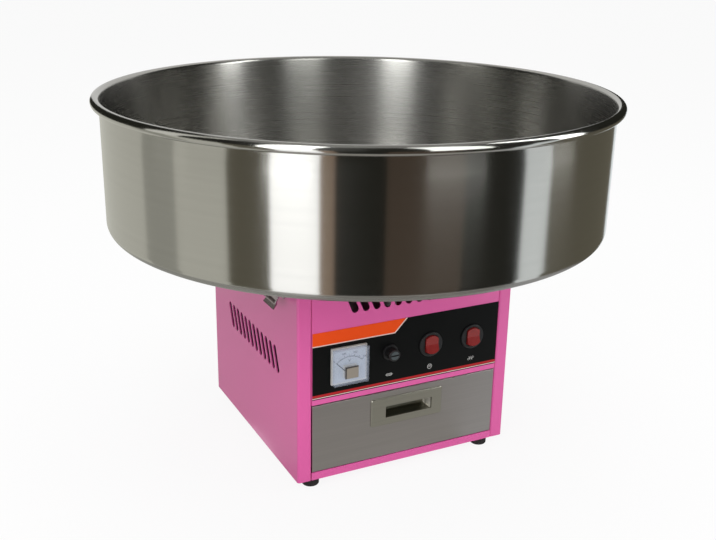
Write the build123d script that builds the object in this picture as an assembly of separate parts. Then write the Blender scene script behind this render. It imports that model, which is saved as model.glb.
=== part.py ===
from build123d import *
import os
from math import cos, radians, sin, tan

# Electric table-top candy floss machine, in millimetres.
# Origin: middle of the footprint on the table. +Z is up, the front faces -Y, the left side faces -X.

# ---------------------------------------------------------------- cabinet
CABINET_WIDTH = 235.0
CABINET_HEIGHT = 220.0
SHEET = 1.2
BEND = 1.8
STILE = 14.5
RETURN_DEPTH = 10.0
FOOT_HEIGHT = 11.5
FOOT_RADIUS = 8.5
FOOT_POCKET = 5.0
FOOT_X = 98.0
FOOT_Y = 103.0

HALF = CABINET_WIDTH / 2
INNER = HALF - SHEET
BASE = FOOT_HEIGHT
TOP = BASE + CABINET_HEIGHT
OPENING = HALF - STILE

# ---------------------------------------------------------------- bowl
BOWL_DIAMETER = 520.0
BOWL_HEIGHT = 131.5
BOWL_SHEET = 1.0
BEAD_RADIUS = 4.5
BOWL_CORNER = 10.0
BOWL_HOLE_RADIUS = 86.0
BOWL_LIP = 14.0
SEAL_THICKNESS = 3.0

BOWL_BOTTOM = TOP + SEAL_THICKNESS
BOWL_TOP = BOWL_BOTTOM + BOWL_HEIGHT
WALL_RADIUS = BOWL_DIAMETER / 2 - 2 * BEAD_RADIUS + BOWL_SHEET
COLLAR_RADIUS = 82.0

# ---------------------------------------------------------------- front panel and drawer
PANEL_BOTTOM = BASE + 80.5
OVERLAY_LOW = BASE + 86.0
OVERLAY_HIGH = BASE + 154.0
OVERLAY_SHEET = 0.4
RAIL_HEIGHT = 8.0
DRAWER_GAP = 0.6
DRAWER_LOW = BASE + RAIL_HEIGHT + DRAWER_GAP
DRAWER_HIGH = BASE + 79.4
DRAWER_DEPTH = 210.0
TRAY_HALF = 98.0
TRAY_LOW = BASE + 11.2
TRAY_HIGH = BASE + 73.0
TRAY_BACK = -HALF + SHEET + DRAWER_DEPTH
PULL_WIDTH = 80.0
PULL_LOW = BASE + 43.5
PULL_HIGH = BASE + 73.0
POCKET = (-24.0, 28.0)
POCKET_LOW = BASE + 51.5
POCKET_HIGH = BASE + 63.5
POCKET_DEPTH = 15.0

# ---------------------------------------------------------------- vents
VENT_LENGTH = 28.5
VENT_WIDTH = 7.4
VENT_PITCH = 11.5
VENT_COUNT = 12
VENT_LEAN = 22.5
FRONT_VENT_HEIGHT = BASE + 181.5
SIDE_VENT_HEIGHT = BASE + 110.3
REAR_VENT_HEIGHT = BASE + 170.0

# ---------------------------------------------------------------- controls
METER_X = -65.4
METER_Z = BASE + 117.5
METER_SIZE = 37.0
DIAL_HALF = 17.1
WINDOW_HALF = 6.8
WINDOW_DROP = 11.6
WINDOW_RISE = 0.4
NEEDLE_DROP = 10.0
NEEDLE_LENGTH = 20.0
METER_FACE = OVERLAY_SHEET + 2.0
NEEDLE_PIVOT_Z = METER_Z - NEEDLE_DROP
FUSE_X = -21.0
FUSE_BORE = 4.2
FUSE_FACE = OVERLAY_SHEET + 2.0
SWITCHES = {"spinner": 24.5, "heater": 72.4}
SWITCH_Z = BASE + 121.6
FUSE_Z = SWITCH_Z
SWITCH_BARREL = 11.5
ROCKER_RADIUS = 10.0
ROCKER_HALF_WIDTH = 7.0
ROCKER_PIN_REACH = 8.8
ROCKER_TILT = 8.0
ROCKER_OUT = 0.8
BLADE_PITCH = 6.0
BLADE_DEPTH = 29.0

# ---------------------------------------------------------------- rear entry and leads
GLAND_X = 75.0
GLAND_Z = BASE + 33.0
GLAND_THREAD = 6.0
GLAND_BORE = 3.75
LEAD_RADIUS = 1.4
TERMINAL_Z = BASE + 105.0

# ---------------------------------------------------------------- latches
LATCH_Y = 77.0
LATCH_WIDTH = 24.0
PIVOT_OUT = 4.5
PIVOT_Z = BASE + 201.0
BAIL_OUT = 4.2
BAIL_Z = PIVOT_Z - 7.0
BAIL_LENGTH = 17.0
BAIL_LEAN = 22.1
BAIL_WIRE = 1.0
LEVER_GAP = 0.4
LEVER_OUTER = LATCH_WIDTH / 2
LEVER_INNER = LEVER_OUTER - SHEET
EAR_OUTER = LEVER_INNER - LEVER_GAP
EAR_INNER = EAR_OUTER - 1.6
WEB_IN = 8.0
WEB_OUT = WEB_IN + SHEET
LEG = LEVER_OUTER + 0.35 + BAIL_WIRE
PIVOT = (PIVOT_OUT, PIVOT_Z)
BAIL_PIVOT = (BAIL_OUT, BAIL_Z)
RIVET_HEIGHTS = (PIVOT_Z - 16.0, PIVOT_Z + 6.0)
RIVET_RADIUS = 1.6

# Each latch as (side of the cabinet along X, end along Y).
CORNERS = {
    "left_front": (-1, -1),
    "left_rear": (-1, 1),
    "right_front": (1, -1),
    "right_rear": (1, 1),
}

# ---------------------------------------------------------------- motor and drive
MOTOR_BOTTOM = BASE + 97.0
MOTOR_TOP = BASE + 171.0
CORE = (BASE + 117.0, BASE + 151.0)
WINDING_HEIGHT = 6.0
MOTOR_RADIUS = 44.0
MOTOR_WALL = 2.0
SHAFT_RADIUS = 6.0
FIT = 0.05
PLATE_THICKNESS = 3.0
BUSH_HEIGHT = 6.0
STANDOFF_X = 50.0
HUB_RADIUS = 14.0
RING_RADIUS = 16.5
RING_HEIGHTS = (BASE + 190.5, BASE + 201.5)
PLATE_TOP = MOTOR_TOP + PLATE_THICKNESS

# ---------------------------------------------------------------- spinner head
HEAD_BOTTOM = BASE + 239.0
HEAD_RADIUS = 76.0
HEAD_HEIGHT = 34.0
BAND_RADIUS = 74.0
BAND_SLOTS = 60
SUGAR_RADIUS = 17.0
ELEMENT_RADIUS = 60.0
ELEMENT_TUBE = 3.2
ELEMENT_GAP = 15.0
HEAD_TOP = HEAD_BOTTOM + HEAD_HEIGHT
ELEMENT_HEIGHT = HEAD_BOTTOM + 16.0

# ---------------------------------------------------------------- fasteners
SCREW_RADIUS = 2.0
SCREW_HEAD = 3.6
SCREW_HEAD_HEIGHT = 2.4
SCREW_HOLE = SCREW_RADIUS + FIT
PLATE_SCREW_CIRCLE = 32.0
HEAD_SCREW_CIRCLE = 48.0
DECK_SCREW_Y = (-40.0, 40.0)
DECK_SCREW_Z = TOP - 6.0
REAR_SCREW_X = 110.0
REAR_SCREW_HEIGHTS = (BASE + 15.0, BASE + 110.0, BASE + 205.0)


def diagonals(radius):
    """The four points of a circle on its diagonals."""
    return [(radius * cos(radians(turn)), radius * sin(radians(turn))) for turn in (45, 135, 225, 315)]


REAR_SCREWS = [(side * REAR_SCREW_X, height) for side in (-1, 1) for height in REAR_SCREW_HEIGHTS]
PLATE_SCREWS = diagonals(PLATE_SCREW_CIRCLE)
HEAD_SCREWS = diagonals(HEAD_SCREW_CIRCLE)
STANDOFFS = [(x, y) for x in (-STANDOFF_X, STANDOFF_X) for y in (-STANDOFF_X, STANDOFF_X)]
FEET = [(x, y) for x in (-FOOT_X, FOOT_X) for y in (-FOOT_Y, FOOT_Y)]

# The outside of each cabinet wall as a drawing plane: x runs right as seen from outside, y runs up.
FRONT = Plane(origin=(0, -HALF, 0), x_dir=(1, 0, 0), z_dir=(0, -1, 0))
LEFT = Plane(origin=(-HALF, 0, 0), x_dir=(0, -1, 0), z_dir=(-1, 0, 0))
RIGHT = Plane(origin=(HALF, 0, 0), x_dir=(0, 1, 0), z_dir=(1, 0, 0))
REAR = Plane(origin=(0, HALF, 0), x_dir=(-1, 0, 0), z_dir=(0, 1, 0))

# Latch drawings lie in a plane whose x points out of the right-hand wall and whose y points up.
LATCH_SIDE = Plane(origin=(HALF, 0, 0), x_dir=(1, 0, 0), z_dir=(0, -1, 0))


# ================================================================ shared shapes

def block(x, y, z):
    """A box from its low and high values along X, Y and Z."""
    middle = Pos((x[0] + x[1]) / 2, (y[0] + y[1]) / 2, (z[0] + z[1]) / 2)
    return middle * Box(x[1] - x[0], y[1] - y[0], z[1] - z[0])


def rod(radius, low, high, x=0.0, y=0.0):
    """An upright cylinder between two heights."""
    return Pos(x, y, (low + high) / 2) * Cylinder(radius, high - low)


def tube(outer, inner, low, high, x=0.0, y=0.0):
    """An upright tube between two heights."""
    return rod(outer, low, high, x, y) - rod(inner, low, high, x, y)


def rod_in(plane, radius, low, high, x, y):
    """A cylinder square to a wall plane, from low to high along the plane's normal."""
    return plane * Pos(x, y, (low + high) / 2) * Cylinder(radius, high - low)


def block_in(plane, x, y, depth):
    """A box on a wall plane, given by low and high values in the plane's own directions."""
    return plane * block(x, y, depth)


def screw(length):
    """A pan head screw that points down, with the underside of its head at the origin."""
    head = rod(SCREW_HEAD, 0, SCREW_HEAD_HEIGHT)
    head = fillet(head.edges().group_by(Axis.Z)[-1], 1.2)
    drive = rod(1.6, SCREW_HEAD_HEIGHT - 1.2, SCREW_HEAD_HEIGHT)
    shank = rod(SCREW_RADIUS, -length, 0)
    return head - drive + shank


def vent_cutter(plane, middle, height, count=VENT_COUNT):
    """A row of leaning slots that cuts through a wall."""
    slots = []
    for index in range(count):
        x = middle + (index - (count - 1) / 2) * VENT_PITCH
        slot = Pos(x, height) * Rot(0, 0, 90 + VENT_LEAN) * SlotOverall(VENT_LENGTH, VENT_WIDTH)
        slots.append(extrude(plane * slot, 4 * SHEET, both=True))
    return slots


def save(name, shape):
    """Write one node, as one solid or as a group of separate solids."""
    solids = shape if isinstance(shape, list) else list(shape.solids())
    body = solids[0] if len(solids) == 1 else Compound(children=solids)
    body.label = name
    export_step(body, "parts/" + name + ".step")


# ================================================================ cabinet shell


def left_side():
    """The left sheet, folded round the front stile and the rear flange."""
    middle = HALF - SHEET / 2
    line = FilletPolyline(
        (-OPENING - 1.0, middle),
        (-middle, middle),
        (-middle, -middle),
        (-OPENING - SHEET / 2, -middle),
        (-OPENING - SHEET / 2, -HALF + RETURN_DEPTH),
        radius=BEND,
    )
    sheet = Pos(0, 0, BASE) * extrude(trace(line, line_width=SHEET), CABINET_HEIGHT)
    sheet -= vent_cutter(LEFT, 1.5, SIDE_VENT_HEIGHT)
    for y in DECK_SCREW_Y:
        sheet -= rod_in(LEFT, SCREW_HOLE, -3, 1, -y, DECK_SCREW_Z)
    for y in (-LATCH_Y, LATCH_Y):
        for z in RIVET_HEIGHTS:
            sheet -= rod_in(LEFT, RIVET_RADIUS + FIT, -3, 1, -y, z)
    for x, z in REAR_SCREWS:
        sheet -= rod_in(REAR, SCREW_HOLE, -3, 1, -x, z)
    return sheet


def right_side():
    """The right sheet: the left one's opposite, with its own vents leaning the same way to the eye."""
    sheet = mirror(left_side(), about=Plane.YZ)
    filled = block((INNER, HALF), (-80, 80), (SIDE_VENT_HEIGHT - 18, SIDE_VENT_HEIGHT + 18))
    return sheet + filled - vent_cutter(RIGHT, -1.5, SIDE_VENT_HEIGHT)


def front_panel():
    """The upper front sheet with the vents and the control cut-outs, folded back at both sides and below."""
    outside = block((-OPENING, OPENING), (-HALF, -HALF + RETURN_DEPTH), (PANEL_BOTTOM, TOP))
    edges = outside.edges().filter_by(Axis.Z).group_by(Axis.Y)[0]
    outside = fillet(edges, 1.0)
    inside = block(
        (-OPENING + SHEET, OPENING - SHEET),
        (-HALF + SHEET, -HALF + RETURN_DEPTH + 1),
        (PANEL_BOTTOM + SHEET, TOP + 1),
    )
    panel = outside - inside - vent_cutter(FRONT, 0.5, FRONT_VENT_HEIGHT)
    return panel - panel_holes()


def panel_holes():
    """Cutters for the meter, the fuse holder and the switches, through the panel and its overlay."""
    holes = [
        rod_in(FRONT, 16.2, -3, 2, METER_X, METER_Z),
        rod_in(FRONT, 6.1, -3, 2, FUSE_X, FUSE_Z),
    ]
    for x in SWITCHES.values():
        holes.append(rod_in(FRONT, SWITCH_BARREL + 0.1, -3, 2, x, SWITCH_Z))
    return holes


def panel_overlay():
    """The printed film over the controls."""
    film = block_in(FRONT, (-OPENING + 0.4, OPENING - 0.4), (OVERLAY_LOW, OVERLAY_HIGH), (0, OVERLAY_SHEET))
    return film - panel_holes()


def rear_panel():
    """The flat rear cover, screwed to the side sheets' rear flanges."""
    panel = block_in(REAR, (-115, 115), (BASE + 3, TOP - 3), (0, SHEET))
    panel = fillet(panel.edges().filter_by(Axis.Y), 4)
    panel -= vent_cutter(REAR, 0, REAR_VENT_HEIGHT)
    panel -= vent_cutter(REAR, 0, REAR_VENT_HEIGHT - 60)
    panel -= rod_in(REAR, GLAND_THREAD + FIT, -3, 3, -GLAND_X, GLAND_Z)
    for x, z in REAR_SCREWS:
        panel -= rod_in(REAR, SCREW_HOLE, -3, 3, -x, z)
    return panel


def base_pan():
    """The floor of the cabinet, with the strip that shows under the drawer."""
    floor = block((-INNER, INNER), (-INNER, INNER), (BASE, BASE + SHEET))
    floor = fillet(floor.edges().filter_by(Axis.Z), BEND)
    for side in (-1, 1):
        folded = sorted((side * (OPENING + SHEET + BEND), side * (OPENING - 0.1)))
        floor -= block(folded, (-HALF, -HALF + RETURN_DEPTH + 0.1), (BASE - 1, BASE + 2))
    floor += block((-OPENING + 0.1, OPENING - 0.1), (-HALF, -INNER), (BASE, BASE + SHEET))
    floor += block((-OPENING + 0.1, OPENING - 0.1), (-HALF, -INNER), (BASE, BASE + RAIL_HEIGHT))
    for x, y in FEET:
        floor -= rod(SCREW_HOLE, BASE - 1, BASE + 3, x, y)
    for x in (-60, -36, -12, 12, 36, 60):
        slot = Pos(x, 0, BASE) * Rot(0, 0, 90) * SlotOverall(70, 6)
        floor -= extrude(slot, 5, both=True)
    return floor


def top_deck():
    """The deck under the bowl, with its folded skirt and the splash collar round the spinner head."""
    front = -HALF + RETURN_DEPTH + 2.0
    deck = block((-INNER, INNER), (front, INNER), (TOP - SHEET, TOP))
    deck = fillet(deck.edges().filter_by(Axis.Z).group_by(Axis.Y)[-1], BEND)
    deck += block((-OPENING + SHEET, OPENING - SHEET), (-INNER, front), (TOP - SHEET, TOP))
    skirt = (TOP - 10.0, TOP - SHEET)
    for side in (-1, 1):
        edge = sorted((side * INNER, side * (INNER - SHEET)))
        deck += block(edge, (front, INNER - 3), skirt)
    deck += block((-INNER + 3, INNER - 3), (INNER - SHEET, INNER), skirt)
    deck += block((-OPENING + 3, OPENING - 3), (-INNER, -INNER + SHEET), skirt)
    deck += tube(COLLAR_RADIUS, COLLAR_RADIUS - 2 * SHEET, TOP - SHEET, TOP + 12)
    deck -= rod(20, TOP - 5, TOP + 5)
    for x, y in STANDOFFS:
        deck -= rod(SCREW_HOLE, TOP - 5, TOP + 5, x, y)
    for plane in (LEFT, RIGHT):
        for y in DECK_SCREW_Y:
            deck -= rod_in(plane, SCREW_HOLE, -6, 1, y, DECK_SCREW_Z)
    return deck


def bowl_seal():
    """The flat rubber ring between the deck and the bowl."""
    return tube(110, 90, TOP, BOWL_BOTTOM)


def feet():
    """Rubber feet with a pocket for the screw head."""
    pads = []
    for x, y in FEET:
        pad = rod(FOOT_RADIUS, 0, FOOT_HEIGHT, x, y)
        pad = fillet(pad.edges().group_by(Axis.Z)[0], 1.5)
        pad -= rod(4.6, 0, FOOT_POCKET, x, y)
        pad -= rod(SCREW_HOLE, FOOT_POCKET, FOOT_HEIGHT, x, y)
        pads.append(pad.solid())
    return pads


def case_screws():
    """Every screw of the cabinet, the motor plate and the feet, all of one size."""
    screws = []
    for x, y in FEET:
        screws.append(Pos(x, y, FOOT_POCKET) * Rot(180, 0, 0) * screw(10))
    for x, z in REAR_SCREWS:
        screws.append(REAR * Pos(-x, z, SHEET) * screw(6))
    for plane in (LEFT, RIGHT):
        for y in DECK_SCREW_Y:
            screws.append(plane * Pos(y, DECK_SCREW_Z, 0) * screw(6))
    for x, y in STANDOFFS:
        screws.append(Pos(x, y, TOP) * screw(9))
        screws.append(Pos(x, y, MOTOR_TOP) * Rot(180, 0, 0) * screw(17))
    for x, y in PLATE_SCREWS:
        screws.append(Pos(x, y, PLATE_TOP) * screw(8))
    return [item.solid() for item in screws]


# ================================================================ rear entry


def cable_gland():
    """A plastic gland through the rear panel: flange and dome outside, lock nut inside."""
    outside = rod_in(REAR, 9.5, SHEET, SHEET + 4, -GLAND_X, GLAND_Z)
    dome = rod_in(REAR, 8.0, SHEET + 4, SHEET + 15, -GLAND_X, GLAND_Z)
    dome = fillet(dome.edges().group_by(Axis.Y)[-1], 2.5)
    thread = rod_in(REAR, GLAND_THREAD, -7, SHEET + 4, -GLAND_X, GLAND_Z)
    bore = rod_in(REAR, GLAND_BORE, -8, 20, -GLAND_X, GLAND_Z)
    gland = outside + dome + thread - bore
    nut = extrude(REAR * Pos(-GLAND_X, GLAND_Z, -5) * RegularPolygon(9.5, 6), 5)
    nut -= rod_in(REAR, GLAND_THREAD + FIT, -6, 1, -GLAND_X, GLAND_Z)
    return [gland.solid(), nut.solid()]


def terminal_block():
    """The wiring terminals on the inside of the rear panel."""
    body = block_in(REAR, (-75, -15), (TERMINAL_Z - 8, TERMINAL_Z + 8), (-14, 0))
    for index in range(5):
        body -= rod_in(REAR, 2.5, -15, -9, -69 + index * 12, TERMINAL_Z)
    return body


def lead(points):
    """An insulated lead along a route, with each bend as wide as its two runs allow."""
    route = [Vector(*point) for point in points]
    bends = []
    for before, corner, after in zip(route, route[1:], route[2:]):
        turn = radians((corner - before).get_angle(after - corner))
        run = min((corner - before).length, (after - corner).length)
        bends.append(0.45 * run / tan(turn / 2))
    print("lead bends", [round(bend) for bend in bends])
    line = FilletPolyline(*route, radius=bends)
    return sweep(Plane(line @ 0, z_dir=line % 0) * Circle(LEAD_RADIUS), path=line).solid()


def internal_leads():
    """The leads between the terminals, the switches, the motor and the brushes."""
    block_face = HALF - 14.0
    blade = -HALF + BLADE_DEPTH
    spinner, heater = SWITCHES.values()
    upper, lower = SWITCH_Z + BLADE_PITCH, SWITCH_Z - BLADE_PITCH
    low_brush, high_brush = RING_HEIGHTS
    entry = TERMINAL_Z - 4
    motor = BASE + 135
    heater_feed = [(69, block_face, entry), (69, 85, entry), (92, 55, entry + 2), (97, 0, entry + 6),
                   (92, -45, entry + 16), (heater, -70, upper), (heater, blade, upper)]
    spinner_feed = [(57, block_face, entry), (57, 80, entry), (80, 50, entry - 6), (86, 0, entry - 8),
                    (74, -45, entry), (spinner, -68, lower), (spinner, blade, lower)]
    motor_feed = [(spinner, blade, upper), (spinner, -75, upper), (21.5, -59.2, motor),
                  (15.07, -41.42, motor)]
    ring_feed = [(heater, blade, lower), (heater, -76, lower), (84, -58, motor), (84, -30, motor + 30),
                 (72, -8, motor + 49), (56, 0, low_brush), (38, 0, low_brush)]
    ring_return = [(21, block_face, entry + 8), (21, 88, entry + 8), (-20, 78, motor), (-66, 60, motor + 35),
                   (-80, 30, motor + 55), (-62, 0, high_brush), (-38, 0, high_brush)]
    return [lead(route) for route in (heater_feed, spinner_feed, motor_feed, ring_feed, ring_return)]


# ================================================================ voltmeter


def voltmeter_case():
    """The meter's flange and round can, with the small block that carries the needle."""
    half = METER_SIZE / 2
    case = block_in(
        FRONT,
        (METER_X - half, METER_X + half),
        (METER_Z - half, METER_Z + half),
        (OVERLAY_SHEET, METER_FACE),
    )
    case += rod_in(FRONT, 16.0, -26, METER_FACE, METER_X, METER_Z)
    case += block_in(
        FRONT,
        (METER_X - WINDOW_HALF, METER_X + WINDOW_HALF),
        (METER_Z - WINDOW_DROP, METER_Z + WINDOW_RISE),
        (METER_FACE, METER_FACE + 2.2),
    )
    return case - rod_in(FRONT, 0.55, METER_FACE - 1, METER_FACE + 3, METER_X, NEEDLE_PIVOT_Z)


def voltmeter_dial():
    """The white scale plate behind the needle."""
    dial = block_in(
        FRONT,
        (METER_X - DIAL_HALF, METER_X + DIAL_HALF),
        (METER_Z - DIAL_HALF, METER_Z + DIAL_HALF),
        (METER_FACE, METER_FACE + 0.5),
    )
    return dial - block_in(
        FRONT,
        (METER_X - WINDOW_HALF - 0.1, METER_X + WINDOW_HALF + 0.1),
        (METER_Z - WINDOW_DROP - 0.1, METER_Z + WINDOW_RISE + 0.1),
        (0, 10),
    )


def voltmeter_needle():
    """The needle at the scale's zero, leaning to the left, with its hub and pivot."""
    pointer = Rot(0, 0, 45) * block((-0.4, 0.4), (-4.0, NEEDLE_LENGTH), (METER_FACE + 2.6, METER_FACE + 3.0))
    needle = FRONT * Pos(METER_X, NEEDLE_PIVOT_Z, 0) * pointer
    needle += rod_in(FRONT, 1.5, METER_FACE + 2.6, METER_FACE + 3.3, METER_X, NEEDLE_PIVOT_Z)
    return needle + rod_in(FRONT, 0.5, METER_FACE, METER_FACE + 2.6, METER_X, NEEDLE_PIVOT_Z)


def voltmeter_lens():
    """The clear cover box over the dial."""
    half = METER_SIZE / 2
    cover = block_in(
        FRONT,
        (METER_X - half, METER_X + half),
        (METER_Z - half, METER_Z + half),
        (METER_FACE, METER_FACE + 6.2),
    )
    cover = fillet(cover.edges().filter_by(Axis.Y) + cover.edges().group_by(Axis.Y)[0], 1.0)
    inner = half - 1.3
    return cover - block_in(
        FRONT,
        (METER_X - inner, METER_X + inner),
        (METER_Z - inner, METER_Z + inner),
        (METER_FACE, METER_FACE + 5.0),
    )


# ================================================================ fuse


def fuse_holder():
    """The panel-mounted barrel with its flange, and the nut behind the panel."""
    barrel = rod_in(FRONT, 8.0, OVERLAY_SHEET, FUSE_FACE, FUSE_X, FUSE_Z)
    barrel += rod_in(FRONT, 6.0, -34, OVERLAY_SHEET, FUSE_X, FUSE_Z)
    barrel -= rod_in(FRONT, FUSE_BORE, -32, 5, FUSE_X, FUSE_Z)
    nut = extrude(FRONT * Pos(FUSE_X, FUSE_Z, -SHEET - 3) * RegularPolygon(9.0, 6), 3)
    nut -= rod_in(FRONT, 6.0 + FIT, -8, 0, FUSE_X, FUSE_Z)
    return [barrel.solid(), nut.solid()]


def fuse_carrier():
    """The sleeve that grips the fuse and slides out with it; its stem carries the cap."""
    sleeve = rod_in(FRONT, FUSE_BORE - FIT, -8, FUSE_FACE + 0.6, FUSE_X, FUSE_Z)
    sleeve -= rod_in(FRONT, 2.65, -9, -2, FUSE_X, FUSE_Z)
    return sleeve + rod_in(FRONT, 1.5, FUSE_FACE + 0.6, FUSE_FACE + 6, FUSE_X, FUSE_Z)


def fuse_link():
    """A 5 by 20 mm glass fuse."""
    return rod_in(FRONT, 2.6, -22, -2, FUSE_X, FUSE_Z)


def fuse_cap():
    """The grooved cap that is turned by hand."""
    low = FUSE_FACE + 0.9
    cap = rod_in(FRONT, 6.0, low, low + 8, FUSE_X, FUSE_Z)
    cap = fillet(cap.edges().group_by(Axis.Y)[0], 1.2)
    for index in range(12):
        angle = radians(index * 30)
        cap -= rod_in(FRONT, 0.6, low, low + 6, FUSE_X + 6.2 * cos(angle), FUSE_Z + 6.2 * sin(angle))
    cap -= block_in(FRONT, (FUSE_X - 4, FUSE_X + 4), (FUSE_Z - 0.6, FUSE_Z + 0.6), (low + 7, low + 9))
    return cap - rod_in(FRONT, 1.5 + FIT, low - 1, low + 5.6, FUSE_X, FUSE_Z)


# ================================================================ switches


def switch_housings():
    """A bezel and barrel for each switch, with sockets for the rocker's pins and three blades behind."""
    housings = []
    for x in SWITCHES.values():
        body = rod_in(FRONT, 12.8, OVERLAY_SHEET, OVERLAY_SHEET + 2, x, SWITCH_Z)
        body = fillet(body.edges().group_by(Axis.Y)[0], 1.0)
        body += rod_in(FRONT, SWITCH_BARREL, -20, OVERLAY_SHEET, x, SWITCH_Z)
        reach = ROCKER_HALF_WIDTH + 0.35
        recess = rod_in(FRONT, ROCKER_RADIUS + 0.35, -12, 5, x, SWITCH_Z)
        body -= recess & block_in(FRONT, (x - reach, x + reach), (SWITCH_Z - 20, SWITCH_Z + 20), (-12, 5))
        length = 2 * (ROCKER_PIN_REACH + 0.3)
        axle = Pos(x, -HALF - ROCKER_OUT, SWITCH_Z) * Rot(0, 90, 0) * Cylinder(1.0 + FIT, length)
        body -= axle
        for middle in (SWITCH_Z - BLADE_PITCH, SWITCH_Z, SWITCH_Z + BLADE_PITCH):
            body += block_in(FRONT, (x - 2.4, x + 2.4), (middle - 0.4, middle + 0.4), (-BLADE_DEPTH, -20))
        housings.append(body.solid())
    return housings


def rocker(x):
    """A flat-sided rocker pressed in at its upper half, which turns in the bezel about its side pins."""
    ball = Sphere(ROCKER_RADIUS)
    wide = 2 * ROCKER_RADIUS
    outline = Polygon(
        (-wide, -6), (wide, -6), (wide, 5.6), (ROCKER_RADIUS - 1, 4.6),
        (0, 3.0), (1 - ROCKER_RADIUS, 4.6), (-wide, 5.6), align=None)
    wedge = extrude(Plane.YZ * Rot(0, 0, 90) * outline, ROCKER_HALF_WIDTH, both=True)
    button = (ball & wedge) + Rot(0, 90, 0) * Cylinder(1.0, 2 * ROCKER_PIN_REACH)
    return Pos(x, -HALF - ROCKER_OUT, SWITCH_Z) * Rot(-ROCKER_TILT, 0, 0) * button


# ================================================================ drawer


def pull_opening(clearance):
    """The cutter that lets the pocket of the pull pass through the drawer's front walls."""
    return block(
        (POCKET[0] - clearance, POCKET[1] + clearance),
        (-HALF - 2, -HALF + 3),
        (POCKET_LOW - clearance, POCKET_HIGH + clearance),
    )


def drawer_front():
    """The brushed front with its edges folded back."""
    width = OPENING - DRAWER_GAP
    front = block((-width, width), (-HALF, -HALF + RETURN_DEPTH), (DRAWER_LOW, DRAWER_HIGH))
    front = fillet(front.edges().group_by(Axis.Y)[0], 0.8)
    front -= block(
        (-width + SHEET, width - SHEET),
        (-HALF + SHEET, -HALF + RETURN_DEPTH + 1),
        (DRAWER_LOW + SHEET, DRAWER_HIGH - SHEET),
    )
    return front - pull_opening(1.0)


def drawer_tray():
    """The open tray behind the front."""
    tray = block((-TRAY_HALF, TRAY_HALF), (-HALF + SHEET, TRAY_BACK), (TRAY_LOW, TRAY_HIGH))
    tray -= block(
        (-TRAY_HALF + 1, TRAY_HALF - 1),
        (-HALF + SHEET + 1, TRAY_BACK - 1),
        (TRAY_LOW + 1, TRAY_HIGH + 1),
    )
    return tray - pull_opening(1.0)


def drawer_pull():
    """A pressed plate with a finger pocket sunk into the drawer front."""
    plate = block((-PULL_WIDTH / 2, PULL_WIDTH / 2), (-HALF - 1.4, -HALF), (PULL_LOW, PULL_HIGH))
    plate = fillet(plate.edges().filter_by(Axis.Y), 2.0)
    plate = chamfer(plate.faces().sort_by(Axis.Y)[0].outer_wire().edges(), 0.7)
    wall = 0.8
    cup = block(
        (POCKET[0] - wall, POCKET[1] + wall),
        (-HALF, -HALF + POCKET_DEPTH),
        (POCKET_LOW - wall, POCKET_HIGH + wall),
    )
    hollow = block(POCKET, (-HALF - 2, -HALF + POCKET_DEPTH - wall), (POCKET_LOW, POCKET_HIGH))
    hollow = fillet(hollow.edges().group_by(Axis.Y)[-1], 3.0)
    return plate + cup - hollow


def drawer_runners():
    """A folded rail under each side of the tray."""
    rails = []
    for side in (-1, 1):
        web = sorted((side * (TRAY_HALF + 0.4), side * (TRAY_HALF + 1.6)))
        shelf = sorted((side * (TRAY_HALF - 10), side * (TRAY_HALF + 0.4)))
        flange = sorted((side * (TRAY_HALF + 0.4), side * (TRAY_HALF + 10)))
        rail = block(web, (-95, 94), (BASE + SHEET, BASE + 29))
        rail += block(shelf, (-95, 94), (TRAY_LOW - 0.4 - SHEET, TRAY_LOW - 0.4))
        rail += block(flange, (-95, 94), (BASE + SHEET, BASE + 2 * SHEET))
        rails.append(rail.solid())
    return rails


# ================================================================ latches


def latch_plate(drawing, low, high):
    """A drawing on the latch's side plane, made solid between two distances along the wall."""
    return extrude(LATCH_SIDE * Pos(0, 0, low) * drawing, high - low)


def latch_base():
    """The riveted base with its two ears and the pivot pin."""
    plate = block((HALF, HALF + SHEET), (-LEVER_OUTER, LEVER_OUTER), (PIVOT_Z - 20, PIVOT_Z + 10))
    plate = fillet(plate.edges().filter_by(Axis.X), 2.0)
    arm = Pos((0.5 + PIVOT_OUT) / 2, PIVOT_Z) * Rectangle(PIVOT_OUT - 0.5, 6.0)
    ear = arm + Pos(*PIVOT) * Circle(3.0)
    base = plate + latch_plate(ear, EAR_INNER, EAR_OUTER) + latch_plate(ear, -EAR_OUTER, -EAR_INNER)
    base += latch_plate(Pos(*PIVOT) * Circle(1.5), -LEVER_OUTER, LEVER_OUTER)
    for z in RIVET_HEIGHTS:
        base += rod_in(RIGHT, 2.5, SHEET, SHEET + 1.0, 0, z)
        base += rod_in(RIGHT, RIVET_RADIUS, -2.4, SHEET, 0, z)
    return base


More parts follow.
